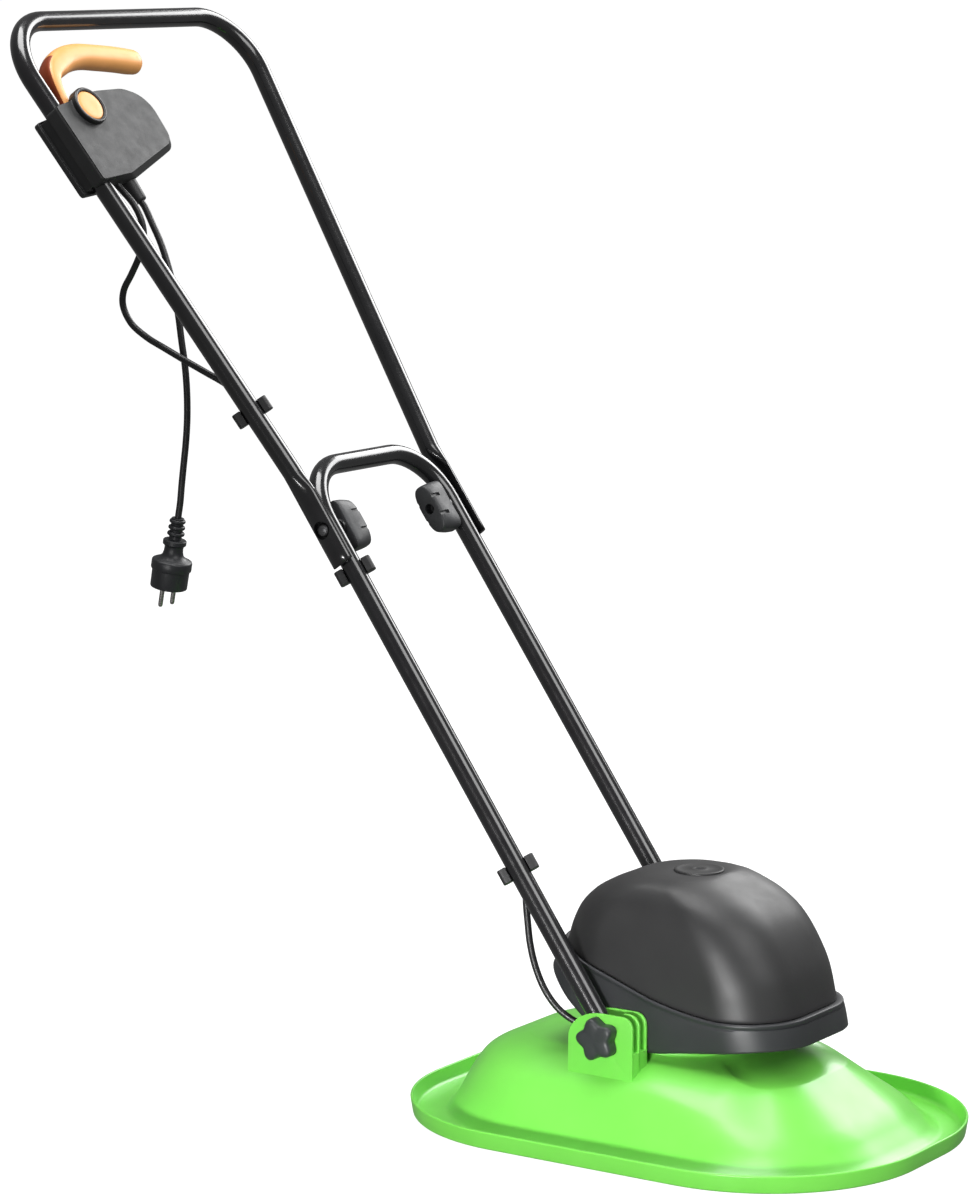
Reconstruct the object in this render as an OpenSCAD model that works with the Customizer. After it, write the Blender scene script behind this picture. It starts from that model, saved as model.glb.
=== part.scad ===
// Electric hover mower: floating deck, domed motor hood, folding tube handle, switch box and mains lead.
// Millimetres. +X is the mowing direction, +Z is up, the operator's right hand is at -Y.
// The origin lies on the ground, half way along the length of the machine and on its centre plane.

/* [Deck] */
// Length of the deck rim along X
deck_length = 541; // [440:1:640]
// Width of the deck rim along Y
deck_width = 400; // [380:1:460]
// Plan radius of the rim corners, as a share of the width
deck_corner_share = .42; // [.38:.01:.46]
// Thickness of the deck moulding
deck_wall = 3; // [2:0.1:4]
// Height of the upturned rim lip
deck_lip_h = 18; // [10:0.5:28]
// Outward lean of the rim lip
deck_lip_lean = 3; // [1:0.5:6]
// Flat width of the floor that rests on the ground
deck_floor_w = 17; // [10:0.5:20]
// Height of the crown that the dome sections are shares of
deck_crown_h = 88; // [80:1:96]
// Outer radius of the motor collar
collar_r = 76; // [72:1:80]
// Radius of the air intake inside the collar
intake_r = 68; // [60:1:70]
// Height of the collar above the dome
collar_h = 8; // [6:0.5:12]

/* [Brackets] */
// Distance of the handle legs from the centre plane
leg_y = 105.3; // [100:0.1:112]
// Position of the handle pivot along X, from the deck centre
pivot_x = -24.5; // [-40:0.5:0]
// Height of the handle pivot
pivot_z = 104.5; // [100:0.5:110]
// Thickness of the bracket plates
plate_t = 3.2; // [2.5:0.1:4]
// Gap between a bracket plate and the tube
plate_gap = 0.6; // [0.4:0.1:1]
// Reach of the plates behind the pivot
plate_rear = 37.5; // [30:0.5:45]
// Reach of the plates in front of the pivot
plate_front = 35; // [28:0.5:45]
// Height of the plates above the pivot
plate_top = 23.5; // [18:0.5:28]
// Fall of the rounded rear edge of the plates
plate_fall = 27; // [18:0.5:32]
// Radius of the front corner of the plates
plate_corner_r = 12; // [6:0.5:16]
// Distance of the front web from the pivot
web_reach = 17; // [16:0.5:22]
// Height of the front web below the pivot
web_drop = 12; // [8:0.5:16]
// Outer radius of the threaded inserts
insert_r = 6.5; // [5.5:0.1:8]

/* [Hood] */
// Rear end of the skirt behind the motor axis
skirt_rear = 116; // [105:1:130]
// Front end of the skirt foot in front of the motor axis
skirt_front = 154; // [140:1:165]
// Front end of the skirt at the seam
seam_front = 148; // [144:1:155]
// Rear end of the skirt at the seam
seam_rear = 112; // [110:0.5:115]
// Half width of the skirt
skirt_half_w = 90; // [86:0.5:90.5]
// Plan radius of the rear skirt corners
skirt_rear_r = 40; // [30:1:55]
// Plan radius of the front skirt corners
skirt_front_r = 62; // [45:1:70]
// Plan radius of the rear corners at the seam
seam_rear_r = 60; // [45:1:70]
// Thickness of the hood shells
hood_wall = 3; // [2:0.1:4]
// Height of the skirt foot at its lowest
hood_foot_z = 88; // [88:0.5:94]
// Height of the hood top
hood_top_z = 250.5; // [235:0.5:275]
// Rear end of the cover behind the motor axis
cover_rear = 116; // [106:1:117]
// Front end of the cover in front of the motor axis
cover_front = 142; // [130:1:144]
// Half width of the cover
cover_half_w = 88; // [82:0.5:88.5]
// Gap between the cover and the skirt
seam_gap = 0.3; // [0.2:0.1:0.6]
// Position of the cap in front of the motor axis
cap_x = 12; // [5:0.5:20]
// Radius of the cap
cap_r = 24.5; // [18:0.5:27]
// Thickness of the cap
cap_t = 2; // [1.5:0.1:3]
// Radius of the hood screw shank
hood_screw_r = 2; // [1.5:0.1:3]
// Radius of the hood screw head
hood_screw_head_r = 3.8; // [3:0.1:5]

/* [Motor] */
// Thickness of the motor plate
motor_plate_t = 4; // [3:0.5:6]
// Width of the arms of the motor plate
motor_arm_w = 18; // [12:1:24]
// Radius of the hub of the motor plate
motor_hub_r = 20; // [17:0.5:24]
// Depth of the hub below the motor plate
motor_hub_drop = 10; // [8:0.5:12]
// Radius of the pillars that carry the tray
pillar_r = 5; // [4:0.5:7]
// Height of the pillars
pillar_h = 12; // [10:0.5:16]
// Thickness of the tray
tray_t = 3; // [2:0.5:5]
// Reach of the tray behind the motor axis
tray_rear = 55; // [50:1:58]
// Reach of the tray in front of the motor axis
tray_front = 120; // [100:1:130]
// Gap between the tray and the skirt
tray_gap = 0.3; // [0.2:0.1:0.8]
// Outer radius of the stator
stator_r = 45; // [40:0.5:50]
// Length of the stator
stator_l = 46; // [36:1:56]
// Inner radius of the stator
stator_bore_r = 26; // [22:0.5:30]
// Gap between armature and stator
air_gap = 0.6; // [0.4:0.1:1]
// Height of the seat under the stator
stator_seat_h = 4; // [3:0.5:6]
// Width of the seat rings
seat_w = 7; // [5:0.5:9]
// Radius of the motor shaft
shaft_r = 6; // [5:0.1:7]
// Running gap of shafts and pins in their bearings
run_gap = 0.04; // [0.02:0.01:0.08]
// Outer radius of the lower bearing
lower_bearing_r = 13; // [11:0.5:15]
// Height of the lower bearing
lower_bearing_h = 10; // [8:0.5:11]
// Outer radius of the upper bearing
upper_bearing_r = 11; // [9.5:0.5:12]
// Height of the upper bearing
upper_bearing_h = 8; // [6:0.5:9]
// Height of the legs of the top motor bracket
bracket_leg_h = 32; // [28:1:40]
// Width of the legs of the top motor bracket
bracket_leg_w = 10; // [8:0.5:14]
// Thickness of the top motor bracket
bracket_t = 4; // [3:0.5:5]
// Radius of the commutator
commutator_r = 13; // [10:0.5:15]
// Length of the commutator
commutator_l = 16; // [12:0.5:20]
// Width of the carbon brushes
brush_w = 6; // [5:0.5:8]
// Height of the carbon brushes
brush_h = 8; // [6:0.5:10]

/* [Cutting parts] */
// Radius of the impeller disc, as a share of the deck width
impeller_share = .23; // [.2:.005:.235]
// Thickness of the impeller disc
impeller_t = 3; // [2:0.5:4]
// Height of the impeller vanes
vane_h = 22; // [15:1:24]
// Height of the impeller disc above the ground
impeller_z = 66; // [62:0.5:68]
// Thickness of an impeller vane
vane_t = 2.5; // [2:0.5:4]
// Radius of the circle that bends a vane
vane_bend_r = 70; // [55:1:90]
// Radius of the impeller hub
impeller_hub_r = 16; // [14:0.5:20]
// Number of impeller vanes
vane_count = 9; // [6:1:12]
// Radius reached by the blade tips, as a share of the deck width
blade_share = .35; // [.3:.005:.36]
// Width of the blade
blade_w = 46; // [36:1:56]
// Thickness of the blade
blade_t = 3; // [2:0.5:4]
// Height of the blade above the ground
blade_z = 21; // [18:0.5:26]
// Thickness of the blade washer
washer_t = 2; // [1.5:0.1:3]
// Radius of the blade washer
washer_r = 17; // [14:0.5:20]
// Width across the corners of the blade bolt head, halved
bolt_head_r = 9; // [8:0.5:11]
// Height of the blade bolt head
bolt_head_h = 6; // [5:0.5:7]
// Radius of the blade bolt shank
bolt_r = 3; // [2.5:0.1:4]
// Depth of the blade bolt in the shaft
bolt_depth = 24; // [16:1:30]

/* [Handle] */
// Angle of the handle above the ground
handle_angle = 55.1; // [50:0.1:60]
// Outer radius of the handle tubes
tube_r = 10; // [9:0.1:11]
// Wall thickness of the handle tubes
tube_wall = 1; // [0.8:0.1:1.5]
// Reach of the lower legs below the pivot
leg_end = 11; // [9:0.5:11]
// Distance from the pivot to the bar of the lower handle
lower_bar = 632; // [600:1:660]
// Bend radius of the lower handle
lower_bend_r = 60; // [50:1:65]
// Distance from the pivot to the fold bolts
fold_at = 565; // [545:1:575]
// Reach of the flattened ends on each side of the fold bolts
flat_reach = 38; // [34:0.5:42]
// Thickness of the flattened ends
flat_t = 8; // [6:0.5:9]
// Half width of the flattened ends
flat_half_w = 12.5; // [11:0.5:14]
// Gap between the lower legs and the flattened ends
fold_gap = 0.3; // [0.3:0.1:0.6]
// Length over which the tube turns flat
flat_blend = 28; // [20:1:40]
// Offset of the flared tube at the end of the flat blend
flare_start_y = 118.3; // [116:0.1:121]
// Outward flare of the upper tubes
flare = 8.53; // [6:0.01:9]
// Distance from the pivot to the top bar
top_bar = 1162; // [1120:1:1200]
// Bend radius of the upper handle
upper_bend_r = 62; // [55:1:72]
// Radius of the studs and fold bolts
stud_r = 4; // [3.5:0.1:4.5]
// Radial gap of studs and bolts in their holes
stud_gap = 0.06; // [0.03:0.01:0.09]

/* [Knobs and bolts] */
// Mean radius of the pivot knobs
star_r = 18.5; // [15:0.5:22]
// Height of the lobes of the pivot knobs
star_lobe = 2.6; // [1:0.1:4]
// Thickness of the pivot knobs
star_t = 14.5; // [10:0.5:18]
// Gap between the pivot knobs and the brackets
star_gap = 0.3; // [0.2:0.1:0.6]
// Half length of the fold knobs
wing_half_l = 27; // [24:0.5:28]
// Half width of the fold knobs
wing_half_w = 12; // [10:0.5:14]
// Thickness of the fold knobs
wing_t = 27; // [22:0.5:30]
// Radius of the notches of the fold knobs
notch_r = 1.6; // [1:0.1:2.5]
// Radius of the fold knob bosses
boss_r = 8; // [7:0.5:9]
// Length of the fold knob bosses
boss_l = 4.5; // [4.5:0.5:8]
// Radius of the fold bolt heads
dome_r = 7; // [6:0.5:8]
// Height of the fold bolt heads
dome_h = 6; // [4:0.5:6.5]
// Gap around the sunk fold bolt heads
seat_gap = 2; // [1:0.5:3]

/* [Cable clips] */
// Distance from the pivot to the lowest clip
clip_low = 182; // [160:1:220]
// Gap between the middle clip and the flattened ends of the upper handle
clip_mid_gap = 2.5; // [1.5:0.5:20]
// Distance of the upper clip above the start of the flare
clip_up_rise = 71; // [50:1:110]
// Length of a clip along the tube
clip_l = 15; // [10:0.5:20]
// Thickness of the clip band
clip_t = 2.6; // [2:0.1:4]
// Reach of the clip ears from the tube axis
ear_reach = 19.5; // [17:0.5:26]
// Width of the clip ears
ear_w = 13; // [9:0.5:15]
// Turn of the clips about the tube
clip_turn = 33.5; // [0:0.5:60]

/* [Switch box] */
// Distance from the pivot to the switch box, along the handle
switch_at = 1005; // [985:1:1015]
// Depth of the front half
front_depth = 17; // [15:0.5:20]
// Depth of the rear half
rear_depth = 19; // [16:0.5:22]
// Thickness of the stepped rear plate
rear_plate_t = 6; // [4:0.5:8]
// Wall thickness of the box
box_wall = 2.5; // [2:0.1:3]
// Half width of the part of the box around the tube
grip_half_w = 16; // [15:0.5:18]
// Reach of the box inward from the tube
box_reach = 131; // [115:1:140]
// Height of the box above its centre
box_top = 55; // [50:0.5:60]
// Depth of the box below its centre
box_bottom = 39; // [35:0.5:44]
// Gap between the box and the tube
grip_gap = 0.3; // [0.2:0.1:0.5]
// Radius of the lock button
button_r = 16.5; // [12:0.5:17]
// Radius of the ring around the button
ring_r = 20.5; // [18:0.5:23]
// Height of the ring in front of the box
ring_h = 5.5; // [4:0.5:8]
// Position of the button inward from the tube
button_in = 30; // [26:0.5:36]
// Position of the button above the box centre
button_up = 39.5; // [32:0.5:40]
// Gap around the button
button_gap = 0.3; // [0.2:0.1:0.5]
// Travel of the button
button_travel = 4; // [2:0.5:4]

/* [Lever] */
// Half width of the lever bar
lever_half_w = 13.5; // [11:0.5:15]
// Half thickness of the lever bar
lever_half_t = 11; // [9:0.5:11.5]
// Distance of the lever bar behind the tube axis
lever_set = 1; // [0:0.5:2]
// Radius of the lever hub
lever_hub_r = 8.5; // [8:0.5:11]
// Thickness of the lever hub
lever_hub_t = 11; // [8:0.5:12]
// Radius of the lever pin
lever_pin_r = 2.5; // [2:0.1:3]

/* [Cords] */
// Radius of the motor cable
cable_r = 3.4; // [3:0.1:4]
// Radius of the mains lead
lead_r = 3.4; // [3:0.1:4]
// Gap between the cable and the tube
cable_gap = 0.4; // [0.3:0.1:0.8]
// Root radius of the lead gland
gland_r = 8; // [6.8:0.1:9]
// Tip radius of the lead gland
gland_tip_r = 6.6; // [4.5:0.1:7]
// Length of the lead gland
gland_l = 26; // [18:1:34]
// Position of the gland inward from the tube
gland_in = 42; // [38:0.5:48]
// Position of the motor cable outlet inward from the tube
outlet_in = 24; // [20:0.5:28]
// Largest radius of the plug
plug_r = 20.5; // [17:0.5:22]
// Radius of the plug pins
pin_r = 2.4; // [2:0.1:2.5]
// Length of the plug pins
pin_l = 19; // [15:0.5:20]
// Distance between the plug pins
pin_pitch = 19; // [17:0.5:20]
// Tilt of the hanging plug
plug_tilt = 10.5; // [0:0.5:20]

/* [Hidden] */
$fn = 64;
// Overrun of cutting bodies
over = 1;
// Steps of a rounded corner, a side and an end in the ring sections
corner_steps = 9;
side_steps = 5;
end_steps = 1;
fillet_steps = 8;

// Length of the machine and the shift that centres it
rear_end = pivot_x - top_bar * cos(handle_angle) - tube_r;
centre_x = (deck_length / 2 + rear_end) / 2;

deck_corner_r = deck_width * deck_corner_share;
impeller_r = deck_width * impeller_share;
blade_r = deck_width * blade_share;

// Dome sections: inset from the rim as a share of the corner radius, height as a share of the crown
inset_shares = [.167, .208, .25, .298, .345, .393, .446, .512, .595, .702];
side_shares = [0, 0, .076, .235, .412, .565, .694, .782, .853, .912];
nose_shares = [.009, .053, .118, .196, .278, .353, .424, .512, .624, .771];
collar_share = .953;
// Start and end of the change from side to nose section, as shares of the half length
nose_blend_shares = [.037, .74];
dome_last = len(inset_shares) - 1;
collar_z = deck_wall + (deck_crown_h - deck_wall) * collar_share;
collar_top = collar_z + collar_h;

// Hood curves: position along the skirt and height between foot and top, both as shares
foot_shares = [
    [0, .434], [.064, .349], [.139, .229], [.214, .127], [.297, .048], [.391, .006], [.477, .003],
    [.571, .024], [.662, .045], [.748, .063], [.838, .084], [.917, .096], [1, .099]];
seam_shares = [
    [0, .590], [.064, .554], [.139, .518], [.214, .476], [.297, .428], [.391, .373], [.477, .325],
    [.571, .289], [.662, .265], [.748, .253], [1, .253]];
// Cover sections: height, rear reach, front reach and half width as shares
cover_rear_shares = [
    [.253, 1], [.452, .974], [.614, .931], [.765, .849], [.867, .724], [.928, .586], [.964, .474],
        [.988, .336]];
cover_front_shares = [
    [.253, 1], [.452, .946], [.614, .859], [.765, .742], [.867, .606], [.928, .478], [.964, .389],
        [.988, .322]];
cover_width_shares = [
    [.253, 1], [.452, .99], [.614, .972], [.765, .925], [.867, .86], [.928, .785], [.964, .715], [.988, .59]];
cover_rise_shares = [0, .15, .3, .45, .6, .72, .82, .9, .96, 1];
cover_corner_share = .7;
cap_land_share = 1.12;
hood_span = hood_top_z - hood_foot_z;

function clamp01(t) = min(max(t, 0), 1);
function ease(t) = t * t * (3 - 2 * t);
function at_level(points, z) = [for (p = points) [p[0], p[1], z]];
function corner(cx, cy, r, a) =
    [for (i = [0:corner_steps]) [cx + r * cos(a + 90 * i / corner_steps),
        cy + r * sin(a + 90 * i / corner_steps)]];
function between(p, q, n) = [for (i = [1:n]) p + (q - p) * i / (n + 1)];
function tail(list) = list[len(list) - 1];
// Rounded rectangle, counter-clockwise from the front
function ring_of(rear, front, half_w, rear_r, front_r) =
    let (a = corner(front - front_r, half_w - front_r, front_r, 0))
    let (b = corner(rear + rear_r, half_w - rear_r, rear_r, 90))
    let (c = corner(rear + rear_r, rear_r - half_w, rear_r, 180))
    let (d = corner(front - front_r, front_r - half_w, front_r, 270))
    let (ab = between(tail(a), b[0], side_steps), bc = between(tail(b), c[0], end_steps))
    let (cd = between(tail(c), d[0], side_steps), da = between(tail(d), a[0], end_steps))
    concat(a, ab, b, bc, c, cd, d, da);
function round_ring(points, cx, r) =
    [for (p = points) let (a = atan2(p[1], p[0] - cx)) [cx + r * cos(a), r * sin(a)]];

// Closed solid from rings of equal point count, the last ring joined to the first
module loop_solid(rows) {
    n = len(rows[0]);
    m = len(rows);
    points = [for (row = rows) each row];
    faces = [for (j = [0:m - 1], i = [0:n - 1])
        let (k = (j + 1) % m, l = (i + 1) % n)
        each [[j * n + i, k * n + i, k * n + l], [j * n + i, k * n + l, j * n + l]]];
    polyhedron(points = points, faces = faces);
}

// Tube or bar from rings of equal point count, closed by flat ends
module chain_solid(rows) {
    n = len(rows[0]);
    m = len(rows);
    points = [for (row = rows) each row];
    sides = [for (j = [0:m - 2], i = [0:n - 1])
        let (l = (i + 1) % n)
        each [[j * n + i, j * n + n + i, j * n + n + l], [j * n + i, j * n + n + l, j * n + l]]];
    first = [[for (i = [0:n - 1]) i]];
    last = [[for (i = [n - 1:-1:0]) (m - 1) * n + i]];
    polyhedron(points = points, faces = concat(sides, first, last));
}

// Round cord through route points, with rings carried along without twist
cord_sides = 10;
function unit(v) = v / norm(v);
function heading(route, i) =
    unit(route[min(i + 1, len(route) - 1)] - route[max(i - 1, 0)]);
function carried(route, i) =
    i == 0
    ? unit(cross(heading(route, 0), [0, 1, 0]))
    : let (p = carried(route, i - 1), h = heading(route, i)) unit(p - h * (p * h));
module cord(route, r) {
    rows = [for (i = [0:len(route) - 1])
        let (h = heading(route, i), a = carried(route, i), b = cross(h, a))
        [for (k = [0:cord_sides - 1])
            route[i] + r * (a * cos(360 * k / cord_sides) - b * sin(360 * k / cord_sides))]];
    chain_solid(rows);
}

// Convex outline with one radius per corner
function fillet(p, a, b, r) =
    let (u = unit(a - p), w = unit(b - p), half = acos(u * w) / 2)
    let (c = p + unit(u + w) * r / sin(half))
    let (s = p + u * r / tan(half) - c, e = p + w * r / tan(half) - c)
    let (from = atan2(s[1], s[0]), turn = (atan2(e[1], e[0]) - from + 540) % 360 - 180)
    [for (i = [0:fillet_steps]) c + r * [cos(from + turn * i / fillet_steps),
        sin(from + turn * i / fillet_steps)]];
function rounded(pts, radii) =
    let (n = len(pts))
    [for (i = [0:n - 1]) each fillet(pts[i], pts[(i + n - 1) % n], pts[(i + 1) % n], radii[i])];
// Same outline moved inward by a wall
function edge_normal(p, q) = let (u = unit(q - p)) [-u[1], u[0]];
function inset(pts, w) =
    let (n = len(pts))
    [for (i = [0:n - 1])
        let (a = edge_normal(pts[(i + n - 1) % n], pts[i]), b = edge_normal(pts[i], pts[(i + 1) % n]))
        pts[i] + w * (a + b) / (1 + a * b)];

module placed() translate([-centre_x, 0, 0]) children();
// Handle frame: x out of the handle plane to the front, y across, z up the slope from the pivot
module on_handle() placed() translate([pivot_x, 0, pivot_z]) rotate([0, handle_angle - 90, 0]) children();
// Drawing plane across the handle, extruded towards the front
module facing(n) translate([n, 0, 0]) rotate(120, [1, 1, 1]) children();
module both_sides() { children(); mirror([0, 1, 0]) children(); }
function handle_point(n, y, s) =
    [pivot_x + n * sin(handle_angle) - s * cos(handle_angle), y,
        pivot_z + n * cos(handle_angle) + s * sin(handle_angle)];

// Deck
half_length = deck_length / 2;
rim = ring_of(-half_length, half_length, deck_width / 2, deck_corner_r, deck_corner_r);
rim_in = ring_of(deck_wall - half_length, half_length - deck_wall, deck_width / 2 - deck_wall,
    deck_corner_r - deck_wall, deck_corner_r - deck_wall);
inward = (rim_in - rim) / deck_wall;
rim_n = len(rim);
function nose_share(x) =
    (x / half_length - nose_blend_shares[0]) / (nose_blend_shares[1] - nose_blend_shares[0]);
function nose(i) = ease(clamp01(nose_share(rim[i][0])));
function dome_inset(k) = inset_shares[k] * deck_corner_r;
function dome_share(k, w) = side_shares[k] * (1 - w) + nose_shares[k] * w;
function dome_z(k, w) = deck_wall + (deck_crown_h - deck_wall) * dome_share(k, w);
function dome_slope(k, w) =
    let (a = max(k - 1, 0), b = min(k + 1, dome_last))
    atan2(dome_z(b, w) - dome_z(a, w), dome_inset(b) - dome_inset(a));
function deck_point(i, d, z) = [rim[i][0] + inward[i][0] * d, rim[i][1] + inward[i][1] * d, z];
function deck_row(d, z) = [for (i = [0:rim_n - 1]) deck_point(i, d, z)];
dome_top_rows = [for (k = [0:dome_last]) [for (i = [0:rim_n - 1])
    deck_point(i, dome_inset(k), dome_z(k, nose(i)))]];
dome_under_rows = [for (k = [dome_last:-1:0]) [for (i = [0:rim_n - 1])
    let (w = nose(i), a = dome_slope(k, w))
    deck_point(i, dome_inset(k) + deck_wall * sin(a), dome_z(k, w) - deck_wall * cos(a))]];
inner_ring = tail(dome_top_rows);
collar_ring = at_level(round_ring(inner_ring, 0, collar_r), collar_z);
intake_ring = round_ring(inner_ring, 0, intake_r);
mid_row = (inner_ring + collar_ring) / 2;
drop = [0, 0, deck_wall];
deck_rows = concat(
    [deck_row(deck_lip_lean, 0), deck_row(0, deck_lip_h), deck_row(deck_wall, deck_lip_h)],
    [deck_row(deck_lip_lean + deck_wall, deck_wall)],
    dome_top_rows,
    [mid_row, collar_ring, at_level(collar_ring, collar_top)],
    [at_level(intake_ring, collar_top), at_level(intake_ring, collar_z - deck_wall)],
    [[for (p = mid_row) p - drop]],
    dome_under_rows,
    [deck_row(deck_lip_lean + deck_floor_w, 0)]);

// Height of the dome at a distance from the centre plane, beside the motor
side_table_shares = [for (k = [0:dome_last]) [inset_shares[k], side_shares[k]]];
function side_height(y) =
    deck_wall + (deck_crown_h - deck_wall) * lookup((deck_width / 2 - y) / deck_corner_r, side_table_shares);
outer_plate_y = leg_y + tube_r + plate_gap;
inner_plate_y = leg_y - tube_r - plate_gap - plate_t;
plate_rear_x = pivot_x - plate_rear;
plate_front_x = pivot_x + plate_front;
plate_top_z = pivot_z + plate_top;
web_x = pivot_x + web_reach;
web_z = pivot_z - web_drop;
root_share = .5;
function plate_foot(y) = side_height(y + plate_t) - deck_wall * root_share;
function front_arc() =
    [for (i = [0:fillet_steps]) let (a = 90 * i / fillet_steps)
        [plate_front_x, plate_top_z] - plate_corner_r * [1 - cos(a), 1 - sin(a)]];
function rear_arc() =
    [for (i = [0:fillet_steps]) let (a = 90 + 90 * i / fillet_steps)
        [pivot_x + plate_rear * cos(a), plate_top_z - plate_fall + plate_fall * sin(a)]];
module upright(y, t) translate([0, y + t, 0]) rotate([90, 0, 0]) linear_extrude(t) children();
module bracket_plate(y, bore_r)
    upright(y, plate_t) difference() {
        polygon(concat([[plate_rear_x, plate_foot(y)], [plate_front_x, plate_foot(y)]],
            front_arc(), rear_arc()));
        translate([pivot_x, pivot_z]) circle(bore_r);
    }
module bracket() {
    bracket_plate(outer_plate_y, stud_r + stud_gap);
    bracket_plate(inner_plate_y, insert_r + run_gap);
    upright(leg_y - plate_t / 2, plate_t)
        polygon(concat([[web_x, plate_foot(leg_y)], [plate_front_x, plate_foot(leg_y)]],
            front_arc(), [[web_x, plate_top_z]]));
    translate([web_x, 0, 0]) rotate([90, 0, 90]) linear_extrude(plate_front_x - web_x)
        polygon([[inner_plate_y, plate_foot(inner_plate_y)],
            [outer_plate_y + plate_t, plate_foot(outer_plate_y)],
            [outer_plate_y + plate_t, web_z], [inner_plate_y, web_z]]);
}
screw_ring_r = (collar_r + intake_r) / 2;
plate_screw_r = 1.8;
plate_screw_head_r = 3.4;
plate_screw_head_h = 2.4;
screw_gap = 0.1;
module four(r) for (a = [45, 135, 225, 315]) rotate([0, 0, a]) translate([r, 0, 0]) children();
module deck()
    color([.42, .85, .2]) placed() difference() {
        union() {
            loop_solid(deck_rows);
            both_sides() bracket();
        }
        four(screw_ring_r) translate([0, 0, collar_z])
            cylinder(r = plate_screw_r + screw_gap, h = collar_h + over);
    }

module bracket_inserts()
    color([.75, .6, .3]) placed() both_sides() upright(inner_plate_y, plate_t)
        translate([pivot_x, pivot_z]) difference() { circle(insert_r); circle(stud_r + stud_gap); }

// Hood
function skirt_share(x) = (x + skirt_rear) / (skirt_front + skirt_rear);
function foot_z(x) = hood_foot_z + hood_span * lookup(skirt_share(x), foot_shares);
function seam_z(x) = hood_foot_z + hood_span * lookup(skirt_share(x), seam_shares);
foot_ring = ring_of(-skirt_rear, skirt_front, skirt_half_w, skirt_rear_r, skirt_front_r);
foot_ring_in = ring_of(hood_wall - skirt_rear, skirt_front - hood_wall, skirt_half_w - hood_wall,
    skirt_rear_r - hood_wall, skirt_front_r - hood_wall);
seam_ring = ring_of(-seam_rear, seam_front, skirt_half_w, seam_rear_r, skirt_front_r);
seam_ring_in = ring_of(hood_wall - seam_rear, seam_front - hood_wall, skirt_half_w - hood_wall,
    seam_rear_r - hood_wall, skirt_front_r - hood_wall);
hood_n = len(foot_ring);
function cover_ring(z, w) =
    let (share = (z - hood_foot_z) / hood_span)
    let (rear = cover_rear * lookup(share, cover_rear_shares) - w)
    let (front = cover_front * lookup(share, cover_front_shares) - w)
    let (half = cover_half_w * lookup(share, cover_width_shares) - w)
    let (r = min(cover_corner_share * half, (rear + front) / 2 - hood_wall))
    ring_of(-rear, front, half, r, r);
seam_levels = [for (p = seam_ring) seam_z(p[0])];
cover_levels = [for (i = [0:hood_n - 1]) seam_z(cover_ring(seam_levels[i], 0)[i][0])];
ledge = [for (i = [0:hood_n - 1]) cover_ring(cover_levels[i], hood_wall)[i]];
ledge_levels = [for (p = ledge) seam_z(p[0])];
function risen(points, levels, d) = [for (i = [0:hood_n - 1]) [points[i][0], points[i][1], levels[i] - d]];
skirt_rows = [
    [for (p = foot_ring) [p[0], p[1], foot_z(p[0])]],
    risen(seam_ring, seam_levels, 0),
    risen(ledge, ledge_levels, 0),
    risen(ledge, ledge_levels, hood_wall),
    risen(seam_ring_in, seam_levels, hood_wall),
    [for (p = foot_ring_in) [p[0], p[1], foot_z(p[0])]]];
module hood_base() color([.1, .1, .11]) placed() loop_solid(skirt_rows);

cover_last = len(cover_rise_shares) - 1;
cover_crest_share = .988;
crest_z = hood_foot_z + hood_span * cover_crest_share;
function cover_level(i, f) = let (z = cover_levels[i] + seam_gap) z + (crest_z - z) * f;
cover_out_rows = [for (k = [0:cover_last]) [for (i = [0:hood_n - 1])
    let (z = cover_level(i, cover_rise_shares[k]), p = cover_ring(z, 0)[i]) [p[0], p[1], z]]];
cover_in_rows = [for (k = [cover_last:-1:0]) [for (i = [0:hood_n - 1])
    let (f = cover_rise_shares[k], z = cover_level(i, f), p = cover_ring(z, hood_wall)[i])
    [p[0], p[1], z - hood_wall * f * f]]];
land_ring = round_ring(tail(cover_out_rows), cap_x, cap_r * cap_land_share);
hole_ring = round_ring(tail(cover_out_rows), cap_x, hood_screw_r + screw_gap);
cover_rows = concat(
    cover_out_rows,
    [at_level(land_ring, hood_top_z), at_level(hole_ring, hood_top_z)],
    [at_level(hole_ring, hood_top_z - hood_wall), at_level(land_ring, hood_top_z - hood_wall)],
    cover_in_rows);
module hood_cover() color([.13, .13, .14]) placed() loop_solid(cover_rows);

cap_recess_share = .55;
cap_edge = 0.8;
module hood_cap()
    color([.11, .11, .12]) placed() translate([cap_x, 0, hood_top_z]) rotate_extrude()
        polygon([[hood_screw_r + screw_gap, 0], [cap_r, 0], [cap_r, cap_t - cap_edge],
            [cap_r - cap_edge, cap_t],
            [hood_screw_head_r + screw_gap, cap_t], [hood_screw_head_r + screw_gap, cap_t * cap_recess_share],
            [hood_screw_r + screw_gap, cap_t * cap_recess_share]]);
hood_screw_l = 20;
module hood_screw()
    color([.3, .3, .32]) placed() translate([cap_x, 0, hood_top_z + cap_t * cap_recess_share]) {
        cylinder(r = hood_screw_head_r, h = cap_t * (1 - cap_recess_share));
        translate([0, 0, -hood_screw_l]) cylinder(r = hood_screw_r, h = hood_screw_l + cap_edge);
    }

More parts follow.
